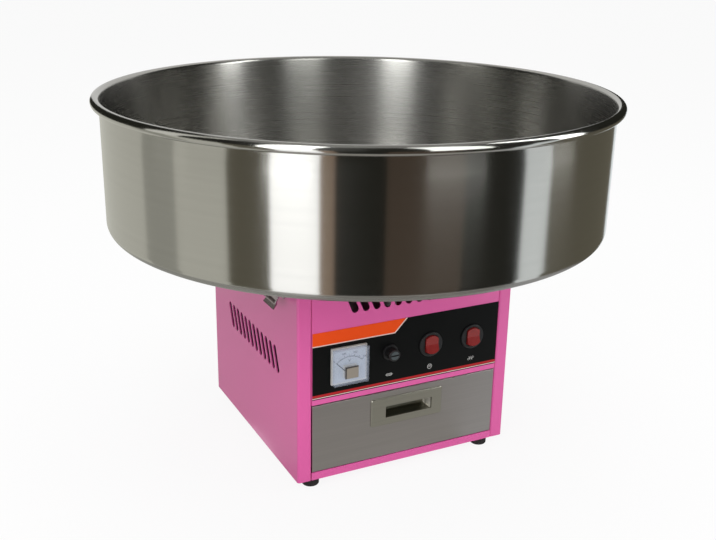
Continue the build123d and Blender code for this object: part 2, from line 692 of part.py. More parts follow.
def latch_lever():
    """The folded lever, closed against the wall, with a flared tip."""
    line = FilletPolyline(
        (WEB_IN + SHEET / 2, PIVOT_Z),
        (WEB_IN + SHEET / 2, PIVOT_Z - 24.0),
        (WEB_IN + SHEET / 2 + 3.6, PIVOT_Z - 28.5),
        radius=2.0,
    )
    lever = latch_plate(trace(line, line_width=SHEET), -LEVER_OUTER, LEVER_OUTER)
    cheek = Polygon(
        (WEB_OUT, PIVOT_Z), (2.0, PIVOT_Z), (2.0, BAIL_Z), (3.2, BAIL_Z - 2.2),
        (WEB_IN + 0.4, PIVOT_Z - 20), (WEB_OUT, PIVOT_Z - 20), align=None)
    cheek += Pos(*PIVOT) * Circle(3.0)
    cheek += Pos(*BAIL_PIVOT) * Circle(2.5)
    lever += latch_plate(cheek, LEVER_INNER, LEVER_OUTER)
    lever += latch_plate(cheek, -LEVER_OUTER, -LEVER_INNER)
    lever -= latch_plate(Pos(*PIVOT) * Circle(1.5 + FIT), -20, 20)
    return lever - latch_plate(Pos(*BAIL_PIVOT) * Circle(BAIL_WIRE + FIT), -20, 20)


def latch_bail():
    """The wire loop, hanging unhooked in front of the lever."""
    tip_x = HALF + BAIL_OUT + BAIL_LENGTH * sin(radians(BAIL_LEAN))
    tip_z = BAIL_Z - BAIL_LENGTH * cos(radians(BAIL_LEAN))
    root_x = HALF + BAIL_OUT
    line = FilletPolyline(
        (root_x, EAR_OUTER + 0.15, BAIL_Z),
        (root_x, LEG, BAIL_Z),
        (tip_x, LEG, tip_z),
        (tip_x, -LEG, tip_z),
        (root_x, -LEG, BAIL_Z),
        (root_x, -EAR_OUTER - 0.15, BAIL_Z),
        radius=1.2,
    )
    return sweep(Plane(line @ 0, z_dir=line % 0) * Circle(BAIL_WIRE), path=line)


def bowl_catch():
    """The bracket under the bowl that the bail hooks over."""
    catch = block((HALF + 3.0, HALF + 16), (-9, 9), (BOWL_BOTTOM - SHEET, BOWL_BOTTOM))
    catch += block((HALF + 3.0, HALF + 3.0 + SHEET), (-6.5, 6.5), (TOP - 12.6, BOWL_BOTTOM))
    catch += block((HALF + 3.0, HALF + 10.2), (-6.5, 6.5), (TOP - 12.6, TOP - 12.6 + SHEET))
    return catch


def at_corner(shape, side, end):
    """Place a right-hand latch piece on the left or right wall, towards the front or the rear."""
    placed = shape if side > 0 else mirror(shape, about=Plane.YZ)
    return (Pos(0, end * LATCH_Y, 0) * placed).solid()


# ================================================================ bowl

def bowl_wall():
    """The rolled band with its open rolled bead at the rim."""
    seam = BOWL_BOTTOM + BOWL_CORNER + 1
    bead_x = WALL_RADIUS + BEAD_RADIUS - BOWL_SHEET
    bead_z = BOWL_TOP - BEAD_RADIUS
    band = Pos(WALL_RADIUS - BOWL_SHEET / 2, (seam + bead_z) / 2) * Rectangle(BOWL_SHEET, bead_z - seam)
    bead = Circle(BEAD_RADIUS) - Circle(BEAD_RADIUS - BOWL_SHEET)
    bead -= Pos(-BEAD_RADIUS / 2 + BOWL_SHEET, -BEAD_RADIUS) * Rectangle(BEAD_RADIUS, 2 * BEAD_RADIUS - 1)
    profile = band + Pos(bead_x, bead_z) * bead
    return revolve(Plane.XZ * profile, Axis.Z)


def bowl_floor():
    """The pressed floor, with the corner up to the band and the lip round the centre hole."""
    seam = BOWL_BOTTOM + BOWL_CORNER + 1
    half = BOWL_SHEET / 2
    line = FilletPolyline(
        (BOWL_HOLE_RADIUS + half, BOWL_BOTTOM + BOWL_LIP),
        (BOWL_HOLE_RADIUS + half, BOWL_BOTTOM + half),
        (WALL_RADIUS - half, BOWL_BOTTOM + half),
        (WALL_RADIUS - half, seam),
        radius=[3.0, BOWL_CORNER - half],
    )
    return revolve(Plane.XZ * trace(line, line_width=BOWL_SHEET), Axis.Z)


# ================================================================ motor

def motor_case():
    """Two cup-shaped halves that hold the stator and the bearings."""
    middle = (MOTOR_BOTTOM + MOTOR_TOP) / 2
    halves = []
    for end, inward in ((MOTOR_BOTTOM, 1), (MOTOR_TOP, -1)):
        wall = sorted((end, middle))
        cap = sorted((end, end + inward * PLATE_THICKNESS))
        boss = sorted((end, end + inward * 7.0))
        half = tube(MOTOR_RADIUS, MOTOR_RADIUS - MOTOR_WALL, *wall)
        half += rod(MOTOR_RADIUS - MOTOR_WALL / 2, *cap) + rod(17, *boss)
        half -= rod(13 + FIT, *boss)
        if inward < 0:
            for x, y in PLATE_SCREWS:
                half -= rod(SCREW_HOLE, MOTOR_TOP - 5, MOTOR_TOP + 1, x, y)
        halves.append(half.solid())
    return halves


def motor_bearings():
    """The two shaft bearings."""
    lower = tube(13, SHAFT_RADIUS + FIT, MOTOR_BOTTOM, MOTOR_BOTTOM + 7)
    upper = tube(13, SHAFT_RADIUS + FIT, MOTOR_TOP - 7, MOTOR_TOP)
    return [lower.solid(), upper.solid()]


def motor_stator():
    """The laminated ring with winding slots, and its windings above and below."""
    low, high = CORE
    core = tube(MOTOR_RADIUS - MOTOR_WALL - FIT, 27.5, low, high)
    for index in range(12):
        core -= Rot(0, 0, index * 30) * block((31, 37), (-2.5, 2.5), (low - 1, high + 1))
    core += tube(39, 30, low - WINDING_HEIGHT, low)
    return core + tube(39, 30, high, high + WINDING_HEIGHT)


def motor_rotor():
    """The rotor core on the shaft."""
    return tube(27, SHAFT_RADIUS + 0.02, *CORE)


def drive_shaft():
    """The shaft from the fan up to the head, hollow above the motor for the heater's wires."""
    shaft = rod(SHAFT_RADIUS, MOTOR_BOTTOM - 9, HEAD_BOTTOM + 18)
    return shaft - rod(2.5, MOTOR_TOP + 10, HEAD_BOTTOM + 19)


def cooling_fan():
    """The fan under the motor."""
    fan = tube(10, SHAFT_RADIUS + 0.02, MOTOR_BOTTOM - 8, MOTOR_BOTTOM - 1)
    for index in range(7):
        blade = Pos(23, 0, MOTOR_BOTTOM - 4.5) * Rot(32, 0, 0) * Box(29, 11, 1.2)
        fan += Rot(0, 0, index * 360 / 7) * blade
    return fan


def motor_plate():
    """The plate that the motor hangs from."""
    plate = block((-60, 60), (-60, 60), (MOTOR_TOP, PLATE_TOP))
    plate = fillet(plate.edges().filter_by(Axis.Z), 6)
    plate -= rod(20, MOTOR_TOP - 1, PLATE_TOP + 1)
    for x, y in STANDOFFS + PLATE_SCREWS:
        plate -= rod(SCREW_HOLE, MOTOR_TOP - 1, PLATE_TOP + 1, x, y)
    return plate


def rubber_bushes():
    """The rubber bushes between the motor plate and the standoffs."""
    return [tube(7, SCREW_HOLE, PLATE_TOP, PLATE_TOP + BUSH_HEIGHT, x, y).solid() for x, y in STANDOFFS]


def motor_standoffs():
    """The hexagonal posts between the bushes and the deck."""
    posts = []
    low = PLATE_TOP + BUSH_HEIGHT
    high = TOP - SHEET
    for x, y in STANDOFFS:
        post = extrude(Pos(x, y, low) * RegularPolygon(6, 6), high - low)
        post -= rod(SCREW_HOLE, low, high, x, y)
        posts.append(post.solid())
    return posts


def run_capacitor():
    """The motor's capacitor with its foot on the left wall."""
    low = BASE + 135
    can = fillet(rod(14, low, low + 50, -88, 85).edges().group_by(Axis.Z)[-1], 2)
    return can + block((-INNER, -99), (78, 92), (low + 10, low + 30))


def slip_ring_hub():
    """The insulating hub that carries the slip rings."""
    return tube(HUB_RADIUS, SHAFT_RADIUS + 0.02, BASE + 184, BASE + 208)


def slip_rings():
    """The two brass rings that feed the heater."""
    return [tube(RING_RADIUS, HUB_RADIUS + 0.02, z - 2.5, z + 2.5).solid() for z in RING_HEIGHTS]


def brush_holders():
    """A post on each side of the hub with a channel for its brush."""
    holders = []
    for side, z in zip((1, -1), RING_HEIGHTS):
        post = block(sorted((side * 20, side * 38)), (-6, 6), (PLATE_TOP, z + 6))
        post -= block(sorted((side * 19, side * 35)), (-2.6, 2.6), (z - 2.1, z + 2.1))
        holders.append(post.solid())
    return holders


def carbon_brushes():
    """The brushes, each in its channel with its face at the slip ring."""
    brushes = []
    for side, z in zip((1, -1), RING_HEIGHTS):
        face = RING_RADIUS + FIT
        brush = block(sorted((side * face, side * 33)), (-2.5, 2.5), (z - 2, z + 2))
        brushes.append(brush.solid())
    return brushes


# ================================================================ spinner head


def head_pan():
    """The cast pan with its raised rim and the hub that clamps on the shaft."""
    pan = rod(HEAD_RADIUS, HEAD_BOTTOM, HEAD_BOTTOM + 8)
    pan = fillet(pan.edges().group_by(Axis.Z)[0], 2)
    pan -= rod(BAND_RADIUS + FIT, HEAD_BOTTOM + 2, HEAD_BOTTOM + 9)
    pan += rod(HUB_RADIUS, HEAD_BOTTOM - 4, HEAD_BOTTOM + 8)
    pan -= rod(SHAFT_RADIUS + 0.02, HEAD_BOTTOM - 5, HEAD_BOTTOM + 9)
    for side in (-1, 1):
        angle = radians(side * ELEMENT_GAP)
        x, y = ELEMENT_RADIUS * cos(angle), ELEMENT_RADIUS * sin(angle)
        pan -= rod(ELEMENT_TUBE + 0.1, HEAD_BOTTOM - 1, HEAD_BOTTOM + 3, x, y)
    for x, y in HEAD_SCREWS:
        pan -= rod(SCREW_HOLE, HEAD_BOTTOM - 1, HEAD_BOTTOM + 3, x, y)
    return pan


def head_band():
    """The thin band whose slits let the sugar out."""
    band = tube(BAND_RADIUS, BAND_RADIUS - 0.8, HEAD_BOTTOM + 2, HEAD_TOP - 2)
    slit = block((BAND_RADIUS - 4, BAND_RADIUS + 2), (-0.9, 0.9), (HEAD_BOTTOM + 10, HEAD_TOP - 8))
    slits = [Rot(0, 0, index * 360 / BAND_SLOTS) * slit for index in range(BAND_SLOTS)]
    return band - slits


def heating_element():
    """The sheathed heater: nearly a full turn, with both ends turned down through the pan."""
    points = []
    steps = 20
    reach = 180 - ELEMENT_GAP
    for index in range(steps + 1):
        angle = radians(180 - reach + index * 2 * reach / steps)
        points.append((ELEMENT_RADIUS * cos(angle), ELEMENT_RADIUS * sin(angle), ELEMENT_HEIGHT))
    first = (points[0][0], points[0][1], HEAD_BOTTOM - 3)
    last = (points[-1][0], points[-1][1], HEAD_BOTTOM - 3)
    corner = [8.0] + [ELEMENT_RADIUS * 0.9] * (steps - 1) + [8.0]
    line = FilletPolyline(first, *points, last, radius=corner)
    return sweep(Plane(line @ 0, z_dir=line % 0) * Circle(ELEMENT_TUBE), path=line)


def head_lid():
    """The lid with its skirt and the raised lip round the sugar opening."""
    lid = rod(HEAD_RADIUS, HEAD_TOP - 6, HEAD_TOP)
    lid = fillet(lid.edges().group_by(Axis.Z)[-1], 1.5)
    lid -= rod(BAND_RADIUS + FIT, HEAD_TOP - 7, HEAD_TOP - 2)
    lid += rod(SUGAR_RADIUS + 2.5, HEAD_TOP - 2, HEAD_TOP + 5)
    lid -= rod(SUGAR_RADIUS, HEAD_TOP - 3, HEAD_TOP + 6)
    for x, y in HEAD_SCREWS:
        lid -= rod(SCREW_HOLE, HEAD_TOP - 3, HEAD_TOP + 1, x, y)
    return lid


def head_screws():
    """The long screws that clamp the lid, band and pan together."""
    length = HEAD_HEIGHT + 1
    return [(Pos(x, y, HEAD_TOP) * screw(length)).solid() for x, y in HEAD_SCREWS]


def shaft_nut():
    """The nut that holds the pan on the shaft."""
    nut = extrude(Pos(0, 0, HEAD_BOTTOM + 8) * RegularPolygon(10, 6), 8)
    return nut - rod(SHAFT_RADIUS + 0.02, HEAD_BOTTOM + 7, HEAD_BOTTOM + 17)


# ================================================================ build

def main():
    os.makedirs("parts", exist_ok=True)

    save("left_side", left_side())
    save("right_side", right_side())
    save("front_panel", front_panel())
    save("panel_overlay", panel_overlay())
    save("rear_panel", rear_panel())
    save("base_pan", base_pan())
    save("top_deck", top_deck())
    save("bowl_seal", bowl_seal())
    save("feet", feet())
    save("case_screws", case_screws())
    save("cable_gland", cable_gland())
    save("terminal_block", terminal_block())
    save("internal_leads", internal_leads())

    save("voltmeter_case", voltmeter_case())
    save("voltmeter_dial", voltmeter_dial())
    save("voltmeter_needle", voltmeter_needle())
    save("voltmeter_lens", voltmeter_lens())
    save("fuse_holder", fuse_holder())
    save("fuse_carrier", fuse_carrier())
    save("fuse_link", fuse_link())
    save("fuse_cap", fuse_cap())
    save("switch_housings", switch_housings())
    for name, x in SWITCHES.items():
        save(name + "_rocker", rocker(x))

    save("drawer_front", drawer_front())
    save("drawer_tray", drawer_tray())
    save("drawer_pull", drawer_pull())
    save("drawer_runners", drawer_runners())

    base, lever, bail, catch = latch_base(), latch_lever(), latch_bail(), bowl_catch()
    save("latch_bases", [at_corner(base, *corner) for corner in CORNERS.values()])
    save("bowl_catches", [at_corner(catch, *corner) for corner in CORNERS.values()])
    for name, corner in CORNERS.items():
        save(name + "_lever", at_corner(lever, *corner))
        save(name + "_bail", at_corner(bail, *corner))

    save("bowl_wall", bowl_wall())
    save("bowl_floor", bowl_floor())

    save("motor_case", motor_case())
    save("motor_bearings", motor_bearings())
    save("motor_stator", motor_stator())
    save("motor_rotor", motor_rotor())
    save("motor_plate", motor_plate())
    save("rubber_bushes", rubber_bushes())
    save("motor_standoffs", motor_standoffs())
    save("run_capacitor", run_capacitor())
    save("drive_shaft", drive_shaft())
    save("cooling_fan", cooling_fan())
    save("slip_ring_hub", slip_ring_hub())
    save("slip_rings", slip_rings())
    save("brush_holders", brush_holders())
    save("carbon_brushes", carbon_brushes())

    save("head_pan", head_pan())
    save("head_band", head_band())
    save("heating_element", heating_element())
    save("head_lid", head_lid())
    save("head_screws", head_screws())
    save("shaft_nut", shaft_nut())


main()
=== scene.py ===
"""The looks of a table-top candy floss machine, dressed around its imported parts. Metres throughout."""

import logging
import math
from dataclasses import dataclass
from enum import Enum
from typing import Any, Iterable, Mapping, Sequence, Union

import bmesh
import bpy
from mathutils import Matrix, Vector


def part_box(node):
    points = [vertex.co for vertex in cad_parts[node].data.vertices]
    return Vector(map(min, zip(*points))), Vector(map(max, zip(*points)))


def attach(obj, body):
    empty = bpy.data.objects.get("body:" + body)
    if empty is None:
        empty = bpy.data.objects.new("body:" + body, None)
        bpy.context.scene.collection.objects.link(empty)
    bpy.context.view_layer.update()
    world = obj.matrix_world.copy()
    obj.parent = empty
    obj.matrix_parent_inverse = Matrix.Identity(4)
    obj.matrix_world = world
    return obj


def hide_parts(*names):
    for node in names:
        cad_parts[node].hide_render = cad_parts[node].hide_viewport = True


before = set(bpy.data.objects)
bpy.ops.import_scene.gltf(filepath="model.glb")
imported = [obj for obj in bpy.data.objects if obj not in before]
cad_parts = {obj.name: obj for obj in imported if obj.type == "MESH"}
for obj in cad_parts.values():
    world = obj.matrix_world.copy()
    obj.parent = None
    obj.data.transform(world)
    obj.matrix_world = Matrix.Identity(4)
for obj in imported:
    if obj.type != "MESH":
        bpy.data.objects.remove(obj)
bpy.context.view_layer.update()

MM = 0.001
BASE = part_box("base_pan")[0].z
CABINET_SHEET = 1.2 * MM
HERE = Matrix.Identity(4)
LOG = logging.getLogger("candy_floss_machine")

Colour = tuple[float, float, float]
Point = tuple[float, float]


def middle(node: str) -> Vector:
    """The middle of a node of the frame."""
    low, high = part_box(node)
    return (low + high) / 2


def polar(radius: float, turn: float) -> Point:
    """The point at a radius, at a turn in radians from X."""
    return radius * math.cos(turn), radius * math.sin(turn)


# ---- shader graphs


class Signal:
    """One output of a shader node, with arithmetic on it."""

    def __init__(self, graph: "Graph", socket: bpy.types.NodeSocket) -> None:
        """Keep the socket and the graph that it belongs to."""
        self.graph = graph
        self.socket = socket

    def math(self, operation: str, *values: "Feed") -> "Signal":
        """The result of a Math node's operation on the values, in order."""
        return self.graph.node("ShaderNodeMath", {"operation": operation}, dict(enumerate(values)))

    def __add__(self, other: "Feed") -> "Signal":
        """The sum of two values."""
        return self.math("ADD", self, other)

    def __sub__(self, other: "Feed") -> "Signal":
        """This value less another."""
        return self.math("SUBTRACT", self, other)

    def __rsub__(self, other: "Feed") -> "Signal":
        """Another value less this one."""
        return self.math("SUBTRACT", other, self)

    def __mul__(self, other: "Feed") -> "Signal":
        """The product of two values."""
        return self.math("MULTIPLY", self, other)

    def __pow__(self, other: "Feed") -> "Signal":
        """This value raised to a power."""
        return self.math("POWER", self, other)

    __radd__ = __add__

    def rises(self, low: float, high: float) -> "Signal":
        """0 below low, 1 above high, and smooth between them."""
        limits = {"Value": self, "From Min": low, "From Max": high}
        return self.graph.node("ShaderNodeMapRange", {"interpolation_type": "SMOOTHSTEP"}, limits)

    def within(self, low: float, high: float, blur: float) -> "Signal":
        """1 between low and high, and 0 outside them, with edges that wide."""
        return self.rises(low - blur / 2, low + blur / 2) * (1 - self.rises(high - blur / 2, high + blur / 2))


Feed = Union[Signal, float, Sequence[float]]


class Graph:
    """The node tree of a material or the world, and the one place where its nodes are made."""

    def __init__(self, tree: bpy.types.NodeTree) -> None:
        """Empty the tree."""
        tree.nodes.clear()
        self.tree = tree

    def node(self, kind: str, settings: Mapping[str, Any] | None = None,
             inputs: Mapping[Any, Feed] | None = None, output: Union[int, str] = 0) -> Signal | None:
        """Make a node.

        Args:
            kind: the node's type.
            settings: its own settings, with a ramp's stops under "stops".
            inputs: values or links for its sockets, by name or number.
            output: the socket that is wanted.

        Returns:
            That output, or None on a node without one.
        """
        made = self.tree.nodes.new(kind)
        for name, value in (settings or {}).items():
            if name == "stops":
                self._set_stops(made.color_ramp, value)
            else:
                setattr(made, name, value)
        for key, value in (inputs or {}).items():
            if isinstance(value, Signal):
                self.tree.links.new(value.socket, made.inputs[key])
            else:
                made.inputs[key].default_value = value
        return Signal(self, made.outputs[output]) if made.outputs else None

    @staticmethod
    def _set_stops(ramp: bpy.types.ColorRamp, stops: Sequence[tuple[float, Colour]]) -> None:
        """Give a ramp its stops, as (place, colour)."""
        while len(ramp.elements) < len(stops):
            ramp.elements.new(1.0)
        for element, (place, colour) in zip(ramp.elements, stops):
            element.position = place
            element.color = (*colour, 1.0)

    def place(self) -> Signal:
        """Where a point is, in metres."""
        return self.node("ShaderNodeTexCoord", output="Object")

    def along(self, axis: str) -> Signal:
        """Where a point is along X, Y or Z."""
        return self.node("ShaderNodeSeparateXYZ", inputs={0: self.place()}, output=axis)

    def from_middle(self, centre: Sequence[float], flat: str) -> Signal:
        """The distance from a line through centre that is square to the two axes in flat, such as "XZ"."""
        spans = [self.along(axis) - centre["XYZ".index(axis)] for axis in flat]
        return (spans[0] * spans[0] + spans[1] * spans[1]) ** 0.5

    def noise(self, scale: float, stretch: Sequence[float] = (1, 1, 1), detail: float = 2.0,
              where: Signal | None = None) -> Signal:
        """Noise from 0 to 1.

        Args:
            scale: features per metre.
            stretch: how much finer it is along each axis.
            detail: the number of finer layers.
            where: coordinates to use in place of the point's own.

        Returns:
            The noise.
        """
        mapped = self.node("ShaderNodeMapping", inputs={"Vector": where or self.place(), "Scale": stretch})
        return self.node("ShaderNodeTexNoise", inputs={"Vector": mapped, "Scale": scale, "Detail": detail})

    def mix(self, share: Feed, first: Union[Signal, Colour], second: Union[Signal, Colour]) -> Signal:
        """The first colour, turning into the second as share goes from 0 to 1."""
        pair = [c if isinstance(c, Signal) else (*c, 1.0) for c in (first, second)]
        return self.node("ShaderNodeMix", {"data_type": "RGBA"}, {0: share, 6: pair[0], 7: pair[1]}, 2)

    def relief(self, height: Signal, depth: float, strength: float = 1.0) -> Signal:
        """A normal from a height map whose white stands depth metres above its black."""
        return self.node("ShaderNodeBump", inputs={"Height": height, "Distance": depth, "Strength": strength})


def new_material(name: str) -> tuple[bpy.types.Material, Graph]:
    """An empty material, with the graph that fills it."""
    made = bpy.data.materials.new(name)
    made.use_nodes = True
    return made, Graph(made.node_tree)


# ---- finishes


class Grain(Enum):
    """Which way the fine lines of a metal run, as how much finer they are along each axis."""

    ALONG_X = (0.012, 1.0, 1.0)
    CAST = (1.0, 1.0, 1.0)
    ROUND = None


@dataclass(frozen=True)
class Finish:
    """A surface, with the name of its slot in the record."""

    slot: str
    colour: Colour
    roughness: float = 0.4

    @property
    def name(self) -> str:
        """The material's name."""
        return f"{self.slot}_{type(self).__name__.lower()}"

    def surface(self, graph: Graph) -> dict[str, Feed]:
        """What goes into the Principled shader's sockets."""
        raise NotImplementedError

    def material(self) -> bpy.types.Material:
        """The finish as a material, made once."""
        found = bpy.data.materials.get(self.name)
        if found:
            return found
        made, graph = new_material(self.name)
        shader = graph.node("ShaderNodeBsdfPrincipled", inputs=self.surface(graph))
        graph.node("ShaderNodeOutputMaterial", inputs={"Surface": shader})
        return made

    def shades(self, graph: Graph, share: Feed, spread: float) -> Signal:
        """The colour, between spread darker and spread lighter as share goes from 0 to 1."""
        dark = tuple(c * (1 - spread) for c in self.colour)
        light = tuple(min(c * (1 + spread), 1.0) for c in self.colour)
        return graph.mix(share, dark, light)


@dataclass(frozen=True)
class Metal(Finish):
    """Bare metal with its grain: brushed, spun, turned or cast."""

    grain: Grain = Grain.CAST
    fineness: float = 900.0
    contrast: float = 0.06
    depth: float = 0.000004
    stretch: float = 0.0

    def lines(self, graph: Graph, fineness: float) -> Signal:
        """The grain at one fineness, in lines per metre."""
        if self.grain is Grain.ROUND:
            run = graph.from_middle((0, 0, 0), "XY") + graph.along("Z")
            ring = graph.node("ShaderNodeCombineXYZ", inputs={0: run})
            return graph.noise(fineness, detail=3.0, where=ring)
        return graph.noise(fineness, self.grain.value, detail=3.0)

    def surface(self, graph: Graph) -> dict[str, Feed]:
        """Fine lines over a faint unevenness from handling."""
        fine = self.lines(graph, self.fineness)
        broad = self.lines(graph, self.fineness * 0.12)
        smudge = graph.noise(14.0, detail=3.0)
        both = fine * 0.6 + broad * 0.4
        rough = self.roughness
        return {
            "Base Color": self.shades(graph, both, self.contrast),
            "Metallic": 1.0,
            "Roughness": rough * 0.82 + both * (rough * 0.24) + smudge * (rough * 0.12),
            "Anisotropic": self.stretch,
            "Anisotropic Rotation": 0.25,
            "Normal": graph.relief(both, self.depth),
        }


@dataclass(frozen=True)
class BowlSteel(Metal):
    """Spun steel that is polished outside and rougher inside, where its colour is darkened as painted shade.
    """

    inside: float = 0.27
    # How much the inside's colour is darkened, as painted shade.
    inside_shade: float = 0.72
    skin: float = 251.5 * MM

    def surface(self, graph: Graph) -> dict[str, Feed]:
        """The metal, rougher within the bowl's skin and darkened there as painted shade."""
        made = super().surface(graph)
        blur = 0.2 * MM
        outer = graph.from_middle((0, 0, 0), "XY").rises(self.skin - blur, self.skin + blur)
        made["Roughness"] = made["Roughness"] * ((1 - outer) * (self.inside / self.roughness) + outer)
        # Painted shade: the inside keeps the same steel, only darker.
        inside_dark = tuple(c * self.inside_shade for c in self.colour)
        made["Base Color"] = graph.mix(outer, inside_dark, made["Base Color"])
        return made


@dataclass(frozen=True)
class PullSteel(Metal):
    """Brushed steel whose recess is darkened as painted shade, with a painted highlight on the recess's right
    wall.
    """

    lip: float = 1.0 * MM
    # Where the recess's right wall starts, which gets a painted highlight.
    lit_wall_from: float = 26.6 * MM

    def surface(self, graph: Graph) -> dict[str, Feed]:
        """The metal, with painted shade behind the plate and a painted highlight on the recess's right wall.
        """
        made = super().surface(graph)
        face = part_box("drawer_pull")[0].y
        behind = graph.along("Y").rises(face + self.lip, face + 3 * self.lip)
        lit_wall = graph.along("X").rises(self.lit_wall_from - 0.1 * MM, self.lit_wall_from)
        # Painted shade: the recess behind the plate is darkened, except on its right wall.
        made["Base Color"] = graph.mix(behind * (1 - lit_wall), made["Base Color"], (0.25, 0.245, 0.20))
        # Painted highlight: the recess's right wall is pale, as if lit.
        made["Base Color"] = graph.mix(behind * lit_wall, made["Base Color"], (0.80, 0.77, 0.68))
        # Part of the painted highlight: the right wall is made mostly non-metallic so that it reads pale.
        made["Metallic"] = 1 - behind * lit_wall * 0.9
        return made


@dataclass(frozen=True)
class Plastic(Finish):
    """Moulded plastic or rubber with a fine texture."""

    pitch: float = 1400.0
    depth: float = 0.00001
    coat: float = 0.0
    cover: float = 1.0

    def surface(self, graph: Graph) -> dict[str, Feed]:
        """A fine pebbled skin, a little uneven in sheen."""
        pebble = graph.noise(self.pitch, detail=2.0)
        sheen = graph.noise(60.0, detail=2.0)
        return {
            "Base Color": self.shades(graph, sheen, 0.06),
            "Roughness": self.roughness * 0.88 + sheen * (self.roughness * 0.24),
            "Alpha": self.cover,
            "Coat Weight": self.coat,
            "Coat Roughness": 0.08,
            "Normal": graph.relief(pebble, self.depth),
        }


@dataclass(frozen=True)
class MeterCover(Plastic):
    """A clear cover with an opaque beige block over the meter's movement."""

    block: Colour = (0.26, 0.23, 0.19)
    half: float = 6.9 * MM
    drop: float = 11.7 * MM
    rise: float = 0.5 * MM

    def surface(self, graph: Graph) -> dict[str, Feed]:
        """The cover, solid over the block."""
        made = super().surface(graph)
        dial = middle("voltmeter_dial")
        over = (graph.along("X").within(dial.x - self.half, dial.x + self.half, 0.1 * MM)
                * graph.along("Z").within(dial.z - self.drop, dial.z + self.rise, 0.1 * MM))
        made["Base Color"] = graph.mix(over, made["Base Color"], self.block)
        made["Alpha"] = over * (1 - self.cover) + self.cover
        return made


@dataclass(frozen=True)
class PowderCoat(Finish):
    """Baked gloss powder paint with its orange peel."""

    def surface(self, graph: Graph) -> dict[str, Feed]:
        """A rippled skin, a little richer here and there."""
        peel = graph.noise(420.0, detail=1.0)
        fine = graph.noise(1900.0, detail=2.0)
        cloud = graph.noise(9.0, detail=3.0)
        return {
            "Base Color": self.shades(graph, cloud, 0.035),
            "Roughness": self.roughness + (fine - 0.5) * 0.08,
            "Coat Weight": 0.4,
            "Coat Roughness": 0.16,
            "Normal": graph.relief(peel * 0.8 + fine * 0.2, 0.000012),
        }


@dataclass(frozen=True)
class PanelPrint(Finish):
    """The printed film over the controls: an orange band above, red and pale lines below, on black."""

    band: Colour = (0.80, 0.072, 0.005)
    pale: Colour = (0.72, 0.55, 0.50)
    red: Colour = (0.42, 0.018, 0.022)
    band_low: float = BASE + 141.2 * MM
    red_line: Point = (BASE + 88.2 * MM, BASE + 90.6 * MM)
    pale_line: Point = (BASE + 86.9 * MM, BASE + 87.7 * MM)
    band_end: float = -16.0 * MM
    lean: float = 0.95
    line: float = 1.0 * MM
    blur: float = 0.25 * MM

    def surface(self, graph: Graph) -> dict[str, Feed]:
        """The print, drawn by place on the film."""
        x, z = graph.along("X"), graph.along("Z")
        slant = x - (z - self.band_low) * self.lean
        above = z.rises(self.band_low - self.blur, self.band_low)
        inside = above * (1 - slant.rises(self.band_end - self.blur, self.band_end))
        edge_above = z.rises(self.band_low - self.line - self.blur, self.band_low - self.line)
        edge_end = self.band_end + self.line * 1.4
        bordered = edge_above * (1 - slant.rises(edge_end, edge_end + self.blur))
        tone = graph.noise(35.0, detail=3.0)
        colour = graph.mix(bordered, self.shades(graph, tone, 0.12), self.pale)
        colour = graph.mix(inside, colour, self.band)
        colour = graph.mix(z.within(*self.red_line, self.blur), colour, self.red)
        colour = graph.mix(z.within(*self.pale_line, self.blur), colour, self.pale)
        return {
            "Base Color": colour,
            "Roughness": self.roughness + (tone - 0.5) * 0.06,
            "Specular IOR Level": 0.12,
            "Normal": graph.relief(graph.noise(2600.0), 0.000004),
        }


@dataclass(frozen=True)
class Winding(Finish):
    """A laminated core with varnished copper windings above and below it."""

    copper: Colour = (0.42, 0.13, 0.04)
    core: Point = (BASE + 117.0 * MM, BASE + 151.0 * MM)

    def surface(self, graph: Graph) -> dict[str, Feed]:
        """Iron sheets between the core's ends, and copper wire past them."""
        sheets = graph.node("ShaderNodeCombineXYZ", inputs={2: graph.along("Z")})
        layers = graph.noise(2000.0, detail=1.0, where=sheets)
        iron = graph.along("Z").within(*self.core, 0.2 * MM)
        wire = graph.mix(layers, tuple(c * 0.6 for c in self.copper), self.copper)
        return {
            "Base Color": graph.mix(iron, wire, self.shades(graph, layers, 0.4)),
            "Metallic": 0.8,
            "Roughness": self.roughness + layers * 0.2,
            "Normal": graph.relief(layers, 0.0001),
        }


@dataclass(frozen=True)
class HeatTint(Metal):
    """A steel sheath coloured straw and blue by its own heat."""

    def surface(self, graph: Graph) -> dict[str, Feed]:
        """The metal, in bands of temper colours."""
        made = super().surface(graph)
        stops = [(0.3, (0.20, 0.12, 0.06)), (0.5, (0.16, 0.10, 0.13)), (0.7, (0.08, 0.10, 0.18))]
        heat = graph.node("ShaderNodeValToRGB", {"stops": stops}, {"Fac": graph.noise(22.0, detail=1.0)})
        made["Base Color"] = graph.mix(0.6, made["Base Color"], heat)
        return made


PINK = PowderCoat("pink_paint", (0.70, 0.10, 0.345), 0.34)
BOWL_STEEL = BowlSteel("bowl_steel", (0.56, 0.55, 0.52), 0.16, Grain.ROUND, 1500.0, 0.10, 0.0000015, 0.9)
SHEET_STEEL = Metal("sheet_steel", (0.47, 0.445, 0.43), 0.36, Grain.ALONG_X, 1300.0, 0.12, 0.000003)
PULL = PullSteel("zinc_steel", (0.44, 0.43, 0.37), 0.34, Grain.ALONG_X, 1300.0, 0.12, 0.000003)
ZINC = Metal("zinc_steel", (0.50, 0.51, 0.54), 0.34, Grain.CAST, 500.0, 0.08, 0.000003)
